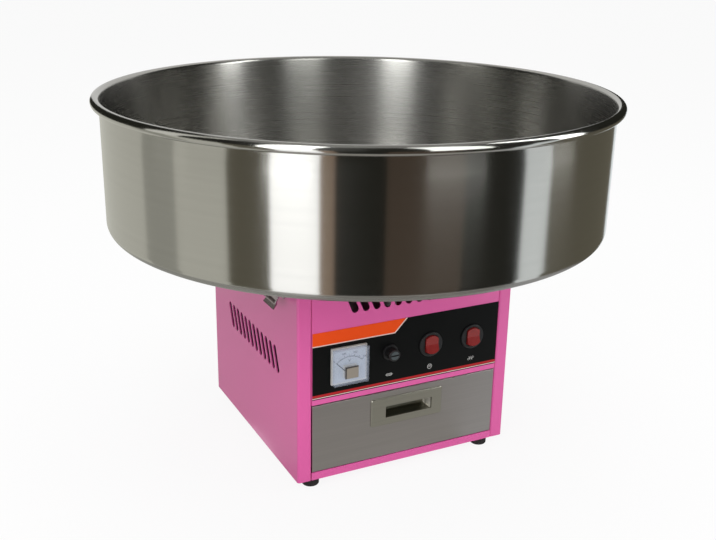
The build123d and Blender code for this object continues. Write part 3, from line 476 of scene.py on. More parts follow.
# The pink tint in the latch steel's colour is a painted reflection of the pink cabinet.
PLATED = Metal("latch_steel", (0.42, 0.36, 0.38), 0.2, Grain.CAST, 160.0, 0.04, 0.000002)
ALUMINIUM = Metal("cast_aluminium", (0.62, 0.62, 0.63), 0.32, Grain.ROUND, 700.0, 0.08, 0.000006, 0.4)
PRINT = PanelPrint("black_film", (0.004, 0.0045, 0.0045), 0.38)
METER = Plastic("meter_body", (0.72, 0.71, 0.68), 0.35)
BLACK = Plastic("black_plastic", (0.012, 0.012, 0.013), 0.42)
CAP_FACE = Plastic("cap_face", (0.06, 0.075, 0.08), 0.3)
RED = Plastic("red_plastic", (0.22, 0.012, 0.011), 0.24, 400.0, 0.000004, 0.4)
SCALE = Plastic("white_scale", (0.47, 0.52, 0.61), 0.5, 2600.0, 0.000003)
CLEAR = Plastic("clear_cover", (0.55, 0.62, 0.74), 0.05, 200.0, 0.000001, 0.0, 0.16)
COVER = MeterCover("clear_cover", (0.55, 0.62, 0.74), 0.05, 200.0, 0.000001, 0.0, 0.16)
FOOT = Plastic("foot_rubber", (0.014, 0.013, 0.013), 0.7, 900.0, 0.00003)
SEAL = Plastic("seal_rubber", (0.30, 0.28, 0.25), 0.6, 700.0, 0.00002)
BRASS = Metal("slip_brass", (0.62, 0.42, 0.16), 0.25, Grain.ROUND, 1800.0, 0.1, 0.000004, 0.5)
PHENOLIC = Plastic("insulator", (0.105, 0.034, 0.014), 0.4, 260.0, 0.00001)
CARBON = Plastic("carbon", (0.014, 0.014, 0.015), 0.5, 1800.0, 0.00001)
CORE = Winding("iron_core", (0.05, 0.05, 0.052), 0.45)
SHEATH = HeatTint("heater_sheath", (0.20, 0.17, 0.14), 0.4, Grain.CAST, 300.0, 0.1, 0.000006)
LEAD = Plastic("lead_cover", (0.30, 0.012, 0.008), 0.35, 500.0, 0.00001)
TERMINAL = Plastic("terminal_white", (0.58, 0.58, 0.52), 0.45)
INK = Plastic("ink", (0.02, 0.02, 0.022), 0.5, 3000.0, 0.000002)
WHITE_INK = Plastic("white_ink", (0.62, 0.62, 0.60), 0.5, 3000.0, 0.000002)


# ---- shaping


def arc(centre: Point, radius: float, start: float, end: float, steps: int) -> list[Point]:
    """Points along an arc.

    Args:
        centre: its middle.
        radius: its radius.
        start: where it starts, in degrees.
        end: where it ends, in degrees.
        steps: how many spans it has.

    Returns:
        The points, both ends included.
    """
    turns = [math.radians(start + (end - start) * step / steps) for step in range(steps + 1)]
    return [(centre[0] + radius * math.cos(turn), centre[1] + radius * math.sin(turn)) for turn in turns]


def upright(first: Point, last: Point, steps: int) -> list[Point]:
    """Points along a straight run, without its two ends."""
    shares = [step / steps for step in range(1, steps)]
    return [(first[0] + (last[0] - first[0]) * s, first[1] + (last[1] - first[1]) * s) for s in shares]


class Workpiece:
    """A bmesh that is being shaped into one piece."""

    def __init__(self) -> None:
        """Start with nothing."""
        self.mesh = bmesh.new()

    def spin(self, outline: Sequence[Point], steps: int, closed: bool = True) -> "Workpiece":
        """Turn an outline of (radius, height) about the upright axis."""
        corners = [self.mesh.verts.new((radius, 0.0, height)) for radius, height in outline]
        ends = corners[1:] + corners[:1] if closed else corners[1:]
        edges = [self.mesh.edges.new(pair) for pair in zip(corners, ends)]
        bmesh.ops.spin(self.mesh, geom=corners + edges, cent=(0, 0, 0), axis=(0, 0, 1), angle=math.tau,
                       steps=steps, use_merge=True)
        bmesh.ops.remove_doubles(self.mesh, verts=self.mesh.verts, dist=1e-7)
        if closed:
            bmesh.ops.recalc_face_normals(self.mesh, faces=self.mesh.faces)
        return self

    def thicken(self, thickness: float) -> "Workpiece":
        """Raise the flat faces into a plate."""
        raised = bmesh.ops.extrude_face_region(self.mesh, geom=self.mesh.faces[:])["geom"]
        top = [item for item in raised if isinstance(item, bmesh.types.BMVert)]
        bmesh.ops.translate(self.mesh, verts=top, vec=(0, 0, thickness))
        bmesh.ops.recalc_face_normals(self.mesh, faces=self.mesh.faces)
        return self

    def plate(self, outline: Sequence[Point], thickness: float) -> "Workpiece":
        """Raise a flat outline into a plate."""
        self.mesh.faces.new([self.mesh.verts.new((x, y, 0.0)) for x, y in outline])
        return self.thicken(thickness)

    def stamp(self, part: "Workpiece", places: Iterable[Matrix] = (HERE,)) -> "Workpiece":
        """Add a copy of another workpiece at each place."""
        pattern = bpy.data.meshes.new("pattern")
        part.mesh.to_mesh(pattern)
        for matrix in places:
            copy = pattern.copy()
            copy.transform(matrix)
            self.mesh.from_mesh(copy)
            bpy.data.meshes.remove(copy)
        bpy.data.meshes.remove(pattern)
        return self

    def move(self, matrix: Matrix) -> "Workpiece":
        """Put the whole workpiece somewhere else."""
        bmesh.ops.transform(self.mesh, matrix=matrix, verts=self.mesh.verts)
        return self

    def piece(self, name: str, body: str, finish: Finish, replaces: Sequence[str] = (),
              sharp: float = 35.0, slot: str | None = None) -> bpy.types.Object:
        """Make the finished piece.

        Args:
            name: the piece's name.
            body: what it moves with.
            finish: its surface.
            replaces: the frame's nodes that it stands for.
            sharp: the angle in degrees above which an edge shows.
            slot: the record's slot, where it isn't the finish's own; not used.

        Returns:
            The object.
        """
        data = bpy.data.meshes.new(name)
        self.mesh.to_mesh(data)
        self.mesh.free()
        data.shade_smooth()
        data.set_sharp_from_angle(angle=math.radians(sharp))
        made = bpy.data.objects.new(name, data)
        bpy.context.scene.collection.objects.link(made)
        data.materials.append(finish.material())
        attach(made, body)
        if replaces:
            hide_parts(*replaces)
        LOG.info("%s: %d faces, moves with %s", name, len(data.polygons), body)
        return made


def facing(x: float, y: float, z: float, outward: str) -> Matrix:
    """A place whose own Z points out of a wall: "front", "rear", "left", "right", "up" or "down"."""
    tipped = Matrix.Rotation(math.pi / 2, 4, "X")
    turns = {
        "up": HERE,
        "down": Matrix.Rotation(math.pi, 4, "X"),
        "front": tipped,
        "rear": Matrix.Rotation(math.pi, 4, "Z") @ tipped,
        "right": Matrix.Rotation(math.pi / 2, 4, "Z") @ tipped,
        "left": Matrix.Rotation(-math.pi / 2, 4, "Z") @ tipped,
    }
    return Matrix.Translation((x, y, z)) @ turns[outward]


def dress(finish: Finish, *nodes: str) -> None:
    """Give a finish to pieces of the frame that keep their shape."""
    for node in nodes:
        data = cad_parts[node].data
        data.materials.clear()
        data.materials.append(finish.material())
        LOG.info("%s: dressed in %s", node, finish.name)


# ---- bowl


@dataclass
class Bowl:
    """The spun bowl: a band with a rolled rim, a pressed floor and the catches under it."""

    sheet: float = 1.0 * MM
    bead: float = 4.5 * MM
    bead_end: float = -138.0
    corner: float = 10.0 * MM
    hole: float = 86.0 * MM
    lip_bend: float = 3.5 * MM
    lip_height: float = 14.0 * MM
    steps: int = 360

    def __post_init__(self) -> None:
        """Take the main sizes from the frame."""
        self.seam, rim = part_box("bowl_wall")[0].z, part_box("bowl_wall")[1]
        self.top, self.wall = rim.z, rim.x - 2 * self.bead + self.sheet
        self.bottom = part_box("bowl_floor")[0].z
        self.lip_top = self.bottom + self.lip_height

    def band(self) -> None:
        """The rolled band with its open bead."""
        inner = (self.wall - self.sheet, self.seam)
        centre = (self.wall + self.bead - self.sheet, self.top - self.bead)
        outside = arc(centre, self.bead, 180, self.bead_end, 30)
        inside = arc(centre, self.bead - self.sheet, self.bead_end, 180, 24)
        outer = (self.wall, self.seam)
        outline = [inner, *upright(inner, outside[0], 6), *outside,
                   *inside, *upright(inside[-1], outer, 6), outer]
        Workpiece().spin(outline, self.steps).piece("bowl_band", "bowl", BOWL_STEEL, ["bowl_wall"])

    def floor(self) -> None:
        """The pressed floor, from its corner to the lip round the hole."""
        low = self.bottom
        foot = (self.hole + self.lip_bend, low + self.lip_bend)
        turn = (self.wall - self.corner, low + self.corner)
        lip = (self.hole + self.sheet / 2, self.lip_top - self.sheet / 2)
        under = arc(foot, self.lip_bend, 180, 270, 8) + arc(turn, self.corner, -90, 0, 14)
        over = (arc(turn, self.corner - self.sheet, 0, -90, 14)
                + upright((turn[0], low + self.sheet), (foot[0], low + self.sheet), 8)
                + arc(foot, self.lip_bend - self.sheet, 270, 180, 8))
        edge = arc(lip, self.sheet / 2, 0, 180, 6)
        seam = [(self.wall, self.seam), (self.wall - self.sheet, self.seam)]
        Workpiece().spin(under + seam + over + edge, self.steps).piece(
            "bowl_pressing", "bowl", BOWL_STEEL, ["bowl_floor"])

    def build(self) -> None:
        """Make the bowl."""
        self.band()
        self.floor()
        dress(BOWL_STEEL, "bowl_catches")


# ---- screws


@dataclass
class Screws:
    """Pan head screws with a cross recess, their lengths and their places."""

    head: float = 3.6 * MM
    height: float = 2.4 * MM
    shank: float = 2.0 * MM
    point: float = 0.6 * MM
    slot_reach: float = 2.0 * MM
    slot_half: float = 0.42 * MM
    slot_depth: float = 1.3 * MM

    panel_length: float = 6.0 * MM
    foot_length: float = 10.0 * MM
    hanger_length: float = 17.0 * MM
    deck_length: float = 9.0 * MM
    plate_length: float = 8.0 * MM
    lid_length: float = 35.0 * MM

    rear_side: float = 110.0 * MM
    rear_rows: tuple[float, ...] = (15.0 * MM, 110.0 * MM, 205.0 * MM)
    wall_side: float = 40.0 * MM
    wall_drop: float = 6.0 * MM
    foot: Point = (98.0 * MM, 103.0 * MM)
    foot_rise: float = 5.0 * MM
    post: float = 50.0 * MM
    plate_ring: float = 32.0 * MM
    lid_ring: float = 48.0 * MM
    lid_rise: float = 6.0 * MM

    def one(self, length: float) -> Workpiece:
        """A screw that points down, with the underside of its head at the origin."""
        flat = self.head * 0.62
        dome = arc((flat, 0.0), self.head - flat, 0, 90, 6)
        crown = [(x, z / (self.head - flat) * self.height) for x, z in dome]
        outline = [(0.0, -length), (self.shank * 0.8, -length), (self.shank, self.point - length),
                   (self.shank, 0.0), (self.head, 0.0), *crown[1:]]
        work = Workpiece().spin(outline, 24, closed=False)
        self._recess(work.mesh)
        return work

    def _recess(self, bm: bmesh.types.BMesh) -> None:
        """Close the open top of the head with a cross-shaped recess."""
        rim = [edge for edge in bm.edges if edge.is_boundary]
        a, b = self.slot_half, self.slot_reach
        quarter = [(b, -a), (b, a), (a, a)]
        turns = ((1, 0), (0, 1), (-1, 0), (0, -1))
        cross = [(x * c - y * s, x * s + y * c) for c, s in turns for x, y in quarter]
        top = [bm.verts.new((x, y, self.height)) for x, y in cross]
        ring = [bm.edges.new(pair) for pair in zip(top, top[1:] + top[:1])]
        bmesh.ops.bridge_loops(bm, edges=rim + ring)
        low = [bm.verts.new((v.co.x * 0.7, v.co.y * 0.7, self.height - self.slot_depth)) for v in top]
        for index, vert in enumerate(top):
            after = (index + 1) % len(top)
            bm.faces.new((vert, top[after], low[after], low[index]))
        bm.faces.new(low)
        bmesh.ops.recalc_face_normals(bm, faces=bm.faces)

    @staticmethod
    def _ring(radius: float, height: float) -> list[Matrix]:
        """Four places that face up, on a circle and midway between X and Y."""
        turns = [math.radians(45 + 90 * turn) for turn in range(4)]
        return [facing(*polar(radius, turn), height, "up") for turn in turns]

    def _case(self) -> None:
        """The screws of the panels, the feet and the motor."""
        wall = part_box("left_side")[1].y
        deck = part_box("bowl_seal")[0].z
        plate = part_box("motor_plate")
        posts = [(x, y) for x in (-self.post, self.post) for y in (-self.post, self.post)]
        rear = [facing(side * self.rear_side, wall + CABINET_SHEET, BASE + row, "rear")
                for side in (-1, 1) for row in self.rear_rows]
        sides = [facing(side * wall, end * self.wall_side, deck - self.wall_drop, name)
                 for side, name in ((-1, "left"), (1, "right")) for end in (-1, 1)]
        feet = [facing(x * self.foot[0], y * self.foot[1], self.foot_rise, "down")
                for x in (-1, 1) for y in (-1, 1)]
        case = Workpiece()
        case.stamp(self.one(self.panel_length), rear + sides)
        case.stamp(self.one(self.foot_length), feet)
        case.stamp(self.one(self.hanger_length), [facing(x, y, plate[0].z, "down") for x, y in posts])
        case.stamp(self.one(self.deck_length), [facing(x, y, deck, "up") for x, y in posts])
        case.stamp(self.one(self.plate_length), self._ring(self.plate_ring, plate[1].z))
        case.piece("cross_head_screws", "cabinet", ZINC, ["case_screws"], sharp=30)

    def _clamps(self) -> None:
        """The long screws that clamp the head together."""
        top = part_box("head_lid")[0].z + self.lid_rise
        clamps = Workpiece().stamp(self.one(self.lid_length), self._ring(self.lid_ring, top))
        clamps.piece("clamping_screws", "spinner", ZINC, ["head_screws"], sharp=30)

    def build(self) -> None:
        """Put a screw at each of the cabinet's, the motor's and the head's holes."""
        self._case()
        self._clamps()


# ---- controls


class Label:
    """Flat printed marks, raised by a hair above what they are printed on."""

    def __init__(self, thickness: float = 0.06 * MM) -> None:
        """Start with a bare surface."""
        self.work = Workpiece()
        self.thickness = thickness

    def bar(self, start: Point, end: Point, width: float) -> "Label":
        """A straight stroke."""
        span = Vector(end) - Vector(start)
        across = Vector((-span.y, span.x)).normalized() * width / 2
        corners = ((start, -1), (end, -1), (end, 1), (start, 1))
        outline = [tuple(Vector(point) + across * side) for point, side in corners]
        self.work.stamp(Workpiece().plate(outline, self.thickness))
        return self

    def curve(self, centre: Point, radius: float, start: float, end: float, width: float) -> "Label":
        """A curved stroke."""
        outer = arc(centre, radius + width / 2, start, end, 40)
        inner = arc(centre, radius - width / 2, end, start, 40)
        closed = abs(end - start) >= 360
        if closed:
            outer, inner = outer[:-1], inner[:-1]
        stroke = Workpiece()
        bm = stroke.mesh
        rings = [[bm.verts.new((x, y, 0.0)) for x, y in ring] for ring in (outer, inner[::-1])]
        spans = len(outer) if closed else len(outer) - 1
        for index in range(spans):
            after = (index + 1) % len(outer)
            bm.faces.new((rings[0][index], rings[0][after], rings[1][after], rings[1][index]))
        self.work.stamp(stroke.thicken(self.thickness))
        return self

    def figure(self, text: str, at: Point, height: float) -> "Label":
        """A number or a unit, centred on a point."""
        curve = bpy.data.curves.new("figure", "FONT")
        curve.body, curve.size = text, height / 0.7
        curve.align_x, curve.align_y = "CENTER", "CENTER"
        curve.extrude = self.thickness / 2
        curve.resolution_u = 4
        holder = bpy.data.objects.new("figure", curve)
        flat = bpy.data.meshes.new_from_object(holder)
        flat.transform(Matrix.Translation((*at, self.thickness / 2)))
        self.work.mesh.from_mesh(flat)
        bpy.data.objects.remove(holder)
        bpy.data.curves.remove(curve)
        bpy.data.meshes.remove(flat)
        return self

    def print_on(self, name: str, body: str, finish: Finish, place: Matrix, slot: str) -> None:
        """Lay the marks on a surface whose own plane is at place."""
        self.work.move(place).piece(name, body, finish, slot=slot)


@dataclass
class Voltmeter:
    """The meter: a pale scale with a needle behind a clear cover.

    A tick is (length, width). The figures and the unit are (distance past the arc or the pivot, height).
    """

    radius: float = 18.5 * MM
    pivot_drop: float = 10.0 * MM
    sweep: float = 45.0
    highest: int = 300
    step: int = 50
    parts: int = 5
    line: float = 0.35 * MM
    main_tick: Point = (2.2 * MM, 0.4 * MM)
    small_tick: Point = (1.2 * MM, 0.22 * MM)
    figures: Point = (4.2 * MM, 2.1 * MM)
    unit: Point = (14.4 * MM, 3.0 * MM)
    # The dark lines along the block's top and left edges are painted shade: their width, then their ends.
    edge: float = 1.2 * MM
    edges: tuple[tuple[Point, Point], ...] = (
        ((-6.8 * MM, -0.2 * MM), (6.8 * MM, -0.2 * MM)),
        ((-6.2 * MM, -0.8 * MM), (-6.2 * MM, -11.6 * MM)),
    )

    def _scale(self) -> None:
        """Print the scale on the dial."""
        dial, face = middle("voltmeter_dial"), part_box("voltmeter_dial")[0].y
        scale = Label()
        scale.curve((0, 0), self.radius, 90 - self.sweep, 90 + self.sweep, self.line)
        count = self.highest // self.step * self.parts
        for index in range(count + 1):
            main = index % self.parts == 0
            turn = math.radians(90 + self.sweep - 2 * self.sweep * index / count)
            length, width = self.main_tick if main else self.small_tick
            scale.bar(polar(self.radius, turn), polar(self.radius + length, turn), width)
            if index % (2 * self.parts) == 0:
                past, height = self.figures
                scale.figure(str(index * self.step // self.parts), polar(self.radius + past, turn), height)
        scale.figure("V", (0.0, self.unit[0]), self.unit[1])
        place = facing(dial.x, face, dial.z - self.pivot_drop, "front")
        scale.print_on("scale_print", "cabinet", INK, place, "black_plastic")

    def _block_edges(self) -> None:
        """Print painted shade along the block's top and left edges on the cover."""
        dial, front = middle("voltmeter_dial"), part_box("voltmeter_lens")[0].y
        edges = Label()
        for start, end in self.edges:
            edges.bar(start, end, self.edge)
        place = facing(dial.x, front, dial.z, "front")
        edges.print_on("block_shade_lines", "cabinet", INK, place, "black_plastic")

    def build(self) -> None:
        """Dress the meter and print on it."""
        dress(METER, "voltmeter_case")
        dress(BLACK, "voltmeter_needle")
        dress(SCALE, "voltmeter_dial")
        dress(COVER, "voltmeter_lens")
        self._scale()
        self._block_edges()


@dataclass
class Controls:
    """The printed film, the fuse and the two rocker switches."""

    row: float = BASE + 97.5 * MM
    stroke: float = 0.4 * MM
    wire: float = 4.0 * MM
    fuse_half: Point = (2.6 * MM, 1.1 * MM)
    fuse_end: float = 1.3 * MM
    motor_ring: float = 2.4 * MM
    motor_letter: float = 2.2 * MM
    wave: float = 0.9 * MM
    wave_pitch: float = 2.2 * MM
    disc: float = 4.3 * MM
    disc_rise: float = 0.15 * MM
    disc_sunk: float = 0.1 * MM

    def marks(self) -> None:
        """Plain symbols under the fuse and the switches: fuse, motor, heater."""
        half, side = self.fuse_half
        fuse = Label().bar((-self.wire, 0), (self.wire, 0), self.stroke)
        for sign in (-1, 1):
            fuse.bar((-half, sign * side), (half, sign * side), self.stroke)
            fuse.bar((sign * half, -self.fuse_end), (sign * half, self.fuse_end), self.stroke)
        motor = Label().curve((0, 0), self.motor_ring, 0, 360, self.stroke)
        motor.figure("M", (0, 0), self.motor_letter)
        heat = Label()
        for index in (-1, 0, 1):
            heat.curve((index * self.wave_pitch, self.wave), self.wave, -90, 90, self.stroke)
            heat.curve((index * self.wave_pitch, -self.wave), self.wave, 90, 270, self.stroke)
        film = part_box("panel_overlay")[0].y
        for name, mark, node in (("fuse_mark", fuse, "fuse_cap"), ("motor_mark", motor, "spinner_rocker"),
                                 ("heat_mark", heat, "heater_rocker")):
            place = facing(middle(node).x, film, self.row, "front")
            mark.print_on(name, "cabinet", WHITE_INK, place, "black_film")

    def fuse_face(self) -> None:
        """The paler slotted disc in the fuse cap's end."""
        halves = Workpiece()
        for start in (10, 190):
            outline = arc((0, 0), self.disc, start, start + 160, 18)
            halves.stamp(Workpiece().plate(outline, self.disc_rise))
        cap, end = middle("fuse_cap"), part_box("fuse_cap")[0].y
        halves.move(facing(cap.x, end + self.disc_sunk, cap.z, "front"))
        halves.piece("fuse_cap_face", "fuse_cap", CAP_FACE, slot="black_plastic")

    def build(self) -> None:
        """Dress the controls and add their marks."""
        dress(PRINT, "panel_overlay")
        dress(BLACK, "fuse_holder", "fuse_carrier", "fuse_cap", "switch_housings")
        dress(CLEAR, "fuse_link")
        dress(RED, "spinner_rocker", "heater_rocker")
        self.marks()
        self.fuse_face()


# ---- rear entry


@dataclass
class CableGland:
    """The gland in the rear panel: a hexagonal body and a ribbed dome nut round the cable's bore."""

    corner: float = 9.4 * MM
    bore: float = 3.75 * MM
    thread: float = 6.0 * MM
    body: float = 4.0 * MM
    lock: float = 5.0 * MM
    dome: float = 8.0 * MM
    rounding: float = 3.0 * MM
    ribs: int = 24
    rib_depth: float = 0.05

    def build(self) -> None:
        """Make the gland."""
        low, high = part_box("cable_gland")
        bore, wall = middle("cable_gland"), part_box("rear_panel")[1].y
        work = Workpiece()
        for part, start in (
            (self._nut(high.y - wall - self.body), wall + self.body),
            (self._holed_hexagon(self.body), wall),
            (self._sleeve(wall - low.y), low.y),
            (self._holed_hexagon(self.lock), wall - CABINET_SHEET - self.lock),
        ):
            work.stamp(part, [facing(bore.x, start, bore.z, "rear")])
        work.piece("dome_gland", "cabinet", BLACK, ["cable_gland"])

    def _nut(self, height: float) -> Workpiece:
        """The dome nut, with shallow grooves round its side."""
        bend = arc((self.dome - self.rounding, height - self.rounding), self.rounding, 0, 90, 8)
        outline = [(self.bore, 0.0), (self.dome, 0.0), *bend, (self.bore, height)]
        nut = Workpiece().spin(outline, self.ribs * 4)
        for vert in nut.mesh.verts:
            radius = math.hypot(vert.co.x, vert.co.y)
            if radius > self.dome - 0.1 * MM and vert.co.z > 0.5 * MM:
                wave = 0.5 + 0.5 * math.cos(self.ribs * math.atan2(vert.co.y, vert.co.x))
                shrink = 1 - self.rib_depth * wave
                vert.co.x, vert.co.y = vert.co.x * shrink, vert.co.y * shrink
        return nut

    def _sleeve(self, length: float) -> Workpiece:
        """The threaded sleeve through the panel."""
        outline = [(self.bore, 0.0), (self.thread, 0.0), (self.thread, length), (self.bore, length)]
        return Workpiece().spin(outline, 48)

    def _holed_hexagon(self, thickness: float) -> Workpiece:
        """A hexagonal plate with the bore through it."""
        work = Workpiece()
        bm = work.mesh
        outlines = (arc((0, 0), self.corner, 0, 300, 5), arc((0, 0), self.bore, 0, 350, 35))
        rings = [[bm.verts.new((x, y, 0.0)) for x, y in outline] for outline in outlines]
        edges = [bm.edges.new(pair) for ring in rings for pair in zip(ring, ring[1:] + ring[:1])]
        bmesh.ops.bridge_loops(bm, edges=edges)
        return work.thicken(thickness)


# ---- plain assemblies


@dataclass(frozen=True)
class Assembly:
    """Pieces of the frame that keep their shapes, by finish."""

    title: str
    finishes: tuple[tuple[Finish, tuple[str, ...]], ...]

    def build(self) -> None:
        """Dress every piece."""
        LOG.info("assembly: %s", self.title)
        for finish, nodes in self.finishes:
            dress(finish, *nodes)


CORNERS = ("left_front", "left_rear", "right_front", "right_rear")
CABINET = Assembly("cabinet", (
    (PINK, ("left_side", "right_side", "front_panel", "rear_panel", "base_pan")),
    (SHEET_STEEL, ("top_deck",)),
    (SEAL, ("bowl_seal",)),
    (FOOT, ("feet",)),
    (TERMINAL, ("terminal_block",)),
    (LEAD, ("internal_leads",)),
))
DRAWER = Assembly("drawer", (
    (SHEET_STEEL, ("drawer_front", "drawer_tray")),
    (PULL, ("drawer_pull",)),
    (ZINC, ("drawer_runners",)),
))
LATCHES = Assembly("latches", (
    (PLATED, ("latch_bases", *(corner + part for corner in CORNERS for part in ("_lever", "_bail")))),
))
MOTOR = Assembly("motor", (
    (ALUMINIUM, ("motor_case",)),
    (CORE, ("motor_stator", "motor_rotor")),
    (ZINC, ("motor_bearings", "motor_plate", "motor_standoffs", "drive_shaft")),
    (FOOT, ("rubber_bushes",)),
    (BLACK, ("run_capacitor", "cooling_fan")),
    (PHENOLIC, ("slip_ring_hub", "brush_holders")),
    (BRASS, ("slip_rings",)),
    (CARBON, ("carbon_brushes",)),
))
HEAD = Assembly("spinner head", (
    (ALUMINIUM, ("head_pan", "head_lid")),
    (SHEET_STEEL, ("head_band",)),
    (SHEATH, ("heating_element",)),
    (ZINC, ("shaft_nut",)),
))


# ---- studio


@dataclass(frozen=True)
class Card:
    """One sector of a surface round the machine, between two directions in degrees."""

    start: float
    end: float
    colour: Colour


@dataclass(frozen=True)
class Tier:
    """Cards side by side on one outline of (radius, height), seen in reflections alone."""

    name: str
    outline: tuple[Point, ...]
    cards: tuple[Card, ...]


@dataclass(frozen=True)
class Lamp:
    """A square soft lamp aimed at the machine, and whether it shows in shiny surfaces."""

    name: str
    place: tuple[float, float, float]
    size: float
    watts: float
    glints: bool = True


PALE_WALL = (0.60, 0.60, 0.54)
SHADED_WALL = (0.38, 0.38, 0.34)
DIM_WALL = (0.13, 0.12, 0.09)
BROWN_WALL = (0.08, 0.06, 0.045)
DARK_CLOTH = (0.02, 0.02, 0.016)
WARM_EDGE = (0.30, 0.22, 0.16)
SOFT_WINDOW = (0.85, 0.90, 0.92)
BRIGHT_WINDOW = (1.60, 1.62, 1.65)
FAR_LIGHT = (0.65, 0.65, 0.64)
HIGH_LAMP = (5.5, 5.6, 5.6)
MIDDLE_LAMP = (2.3, 2.35, 2.3)
FAINT_LAMP = (0.8, 0.8, 0.75)
LEFT_TABLE = (0.50, 0.50, 0.47)
FRONT_TABLE = (0.40, 0.39, 0.37)
RIGHT_TABLE = (0.50, 0.50, 0.50)
CEILING_GREY = (0.26, 0.26, 0.25)

# Radii and heights that the cards' outlines share.
HUB, TABLE, RING = 0.13, 0.48, 0.70
TABLE_TOP, SHOULDER, ROOF = 0.0006, 0.30, 1.30

LOW_TIER = Tier("low", ((TABLE, TABLE_TOP), (RING, TABLE_TOP), (RING, SHOULDER)), (
    Card(96, 157, PALE_WALL),
    Card(157, 175, SHADED_WALL),
    Card(175, 198, PALE_WALL),
    Card(198, 214, DIM_WALL),
    Card(214, 231, BRIGHT_WINDOW),
    Card(231, 236, WARM_EDGE),
    Card(236, 253, DARK_CLOTH),
    Card(253, 280, BROWN_WALL),
    Card(280, 304, DARK_CLOTH),
    Card(304, 317, SOFT_WINDOW),
    Card(317, 374, DIM_WALL),
    Card(374, 388, SOFT_WINDOW),
    Card(388, 456, SHADED_WALL),
))
HIGH_TIER = Tier("high", ((RING, SHOULDER), (RING, ROOF)), (
    Card(32, 108, FAR_LIGHT),
    Card(108, 166, DARK_CLOTH),
    Card(166, 182, FAINT_LAMP),
    Card(182, 212, DARK_CLOTH),
    Card(212, 229, HIGH_LAMP),
    Card(229, 266, DARK_CLOTH),
    Card(266, 287, MIDDLE_LAMP),
    Card(287, 315, DARK_CLOTH),
    Card(315, 328, HIGH_LAMP),
    Card(328, 392, DARK_CLOTH),
))
NEAR_TIER = Tier("near", ((HUB, TABLE_TOP), (TABLE, TABLE_TOP)), (
    Card(96, 205, LEFT_TABLE),
    Card(205, 300, FRONT_TABLE),
    Card(300, 456, RIGHT_TABLE),
))
CEILING = Tier("ceiling", ((0.01, ROOF), (RING, ROOF)), (Card(0, 360, CEILING_GREY),))
LAMPS = (
    Lamp("key", (-1.3, -1.3, 1.5), 1.2, 16.0),
    Lamp("fill", (1.5, -1.2, 1.1), 1.4, 7.0, glints=False),
    Lamp("top", (0.1, 0.3, 2.0), 1.5, 14.0),
    Lamp("front", (0.1, -1.6, 0.14), 0.6, 5.4, glints=False),
)


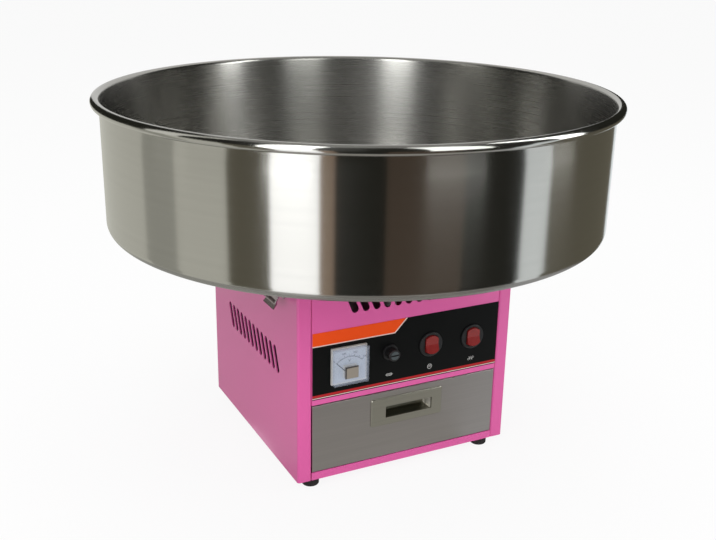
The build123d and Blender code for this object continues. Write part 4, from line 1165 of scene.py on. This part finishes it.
@dataclass
class Studio:
    """The pale floor, the soft lamps, the cards that the steel reflects, and the camera."""

    camera_at: Vector = Vector((-0.4461, -0.8870, 0.5265))
    looking: Vector = Vector((0.42568, 0.84129, -0.33321))
    roll: float = 0.0179
    lens: float = 49.98
    lit_point: Vector = Vector((0.0, 0.0, 0.22))
    ambient: float = 0.60
    floor_reach: float = 40.0
    floor_grey: float = 0.86
    floor_glow: float = 0.9
    card_step: float = 4.0

    @staticmethod
    def _stand(name: str, work: Workpiece, material: bpy.types.Material) -> bpy.types.Object:
        """Put a mesh in the studio, apart from the machine."""
        data = bpy.data.meshes.new(name)
        work.mesh.to_mesh(data)
        work.mesh.free()
        data.materials.append(material)
        made = bpy.data.objects.new(name, data)
        bpy.context.scene.collection.objects.link(made)
        return made

    def floor(self) -> None:
        """A pale floor that keeps the machine's shadow."""
        work = Workpiece()
        bmesh.ops.create_grid(work.mesh, x_segments=4, y_segments=4, size=self.floor_reach)
        material, graph = new_material("floor_white")
        grey = (self.floor_grey,) * 3
        matt = graph.node("ShaderNodeBsdfDiffuse", inputs={"Color": (*grey, 1.0)})
        glow = graph.node("ShaderNodeEmission", inputs={"Color": (1.0, 1.0, 1.0, 1.0), "Strength": 1.0})
        lit = graph.node("ShaderNodeMixShader", inputs={0: self.floor_glow, 1: matt, 2: glow})
        shown = graph.node("ShaderNodeMixShader", inputs={0: self.seen(graph), 1: matt, 2: lit})
        graph.node("ShaderNodeOutputMaterial", inputs={"Surface": shown})
        self._stand("floor", work, material)

    @staticmethod
    def seen(graph: Graph) -> Signal:
        """1 for rays from the camera, or from metal or glass that it looks at."""
        paths = [graph.node("ShaderNodeLightPath", output=name)
                 for name in ("Is Camera Ray", "Is Glossy Ray", "Is Transmission Ray")]
        return paths[0].math("MAXIMUM", paths[0].math("MAXIMUM", paths[0], paths[1]), paths[2])

    def world(self) -> None:
        """White where it is seen, and an even soft light elsewhere."""
        sky = bpy.data.worlds.new("studio")
        sky.use_nodes = True
        bpy.context.scene.world = sky
        graph = Graph(sky.node_tree)
        soft = graph.node("ShaderNodeBackground", inputs={"Color": (1, 1, 1, 1), "Strength": self.ambient})
        white = graph.node("ShaderNodeBackground", inputs={"Color": (1, 1, 1, 1), "Strength": 1.0})
        both = graph.node("ShaderNodeMixShader", inputs={0: self.seen(graph), 1: soft, 2: white})
        graph.node("ShaderNodeOutputWorld", inputs={"Surface": both})

    def lamp(self, lamp: Lamp) -> None:
        """Hang one lamp."""
        light = bpy.data.lights.new(lamp.name, "AREA")
        light.size, light.energy = lamp.size, lamp.watts
        holder = bpy.data.objects.new(lamp.name, light)
        holder.visible_glossy = lamp.glints
        turn = (Vector(lamp.place) - self.lit_point).to_track_quat("Z", "Y").to_matrix().to_4x4()
        holder.matrix_world = Matrix.Translation(lamp.place) @ turn
        bpy.context.scene.collection.objects.link(holder)

    def tier(self, tier: Tier) -> None:
        """The cards of one tier."""
        for index, card in enumerate(tier.cards):
            self.card(f"{tier.name}_card_{index}", card, tier.outline)

    def card(self, name: str, card: Card, outline: Sequence[Point]) -> None:
        """One card, swept from an outline of (radius, height)."""
        sweep = card.end - card.start
        steps = max(2, round(sweep / self.card_step))
        turns = [math.radians(card.start + sweep * step / steps) for step in range(steps + 1)]
        work = Workpiece()
        bm = work.mesh
        rows = [[bm.verts.new((*polar(radius, turn), z)) for radius, z in outline] for turn in turns]
        for first, second in zip(rows, rows[1:]):
            for corners in zip(first, first[1:], second[1:], second):
                bm.faces.new(corners)
        material, graph = new_material(name)
        glow = graph.node("ShaderNodeEmission", inputs={"Color": (*card.colour, 1.0), "Strength": 1.0})
        graph.node("ShaderNodeOutputMaterial", inputs={"Surface": glow})
        screen = self._stand(name, work, material)
        screen.visible_camera = screen.visible_diffuse = screen.visible_shadow = False
        screen.visible_transmission = screen.visible_volume_scatter = False

    def camera(self) -> None:
        """The camera, where the photograph was taken from."""
        lens = bpy.data.cameras.new("camera")
        lens.lens, lens.sensor_width, lens.sensor_fit = self.lens, 36.0, "HORIZONTAL"
        lens.clip_start, lens.clip_end = 0.01, 50.0
        ahead = self.looking.normalized()
        across = ahead.cross(Vector((0, 0, 1))).normalized()
        up = across.cross(ahead)
        right = across * math.cos(self.roll) + up * math.sin(self.roll)
        top = up * math.cos(self.roll) - across * math.sin(self.roll)
        turn = Matrix((right, top, -ahead)).transposed().to_4x4()
        holder = bpy.data.objects.new("camera", lens)
        holder.matrix_world = Matrix.Translation(self.camera_at) @ turn
        bpy.context.scene.collection.objects.link(holder)
        bpy.context.scene.camera = holder

    def build(self) -> None:
        """Set up the studio."""
        bpy.context.scene.view_settings.view_transform = "Standard"
        self.floor()
        self.world()
        for lamp in LAMPS:
            self.lamp(lamp)
        for tier in (LOW_TIER, HIGH_TIER, NEAR_TIER, CEILING):
            self.tier(tier)
        self.camera()


def main() -> None:
    """Build the machine's looks, piece by piece."""
    logging.basicConfig(level=logging.INFO, format="%(name)s %(message)s")
    for part in (Studio(), Bowl(), Screws(), CABINET, Voltmeter(), Controls(), DRAWER, LATCHES, MOTOR, HEAD,
                 CableGland()):
        part.build()
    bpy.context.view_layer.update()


if __name__ == "__main__":
    main()
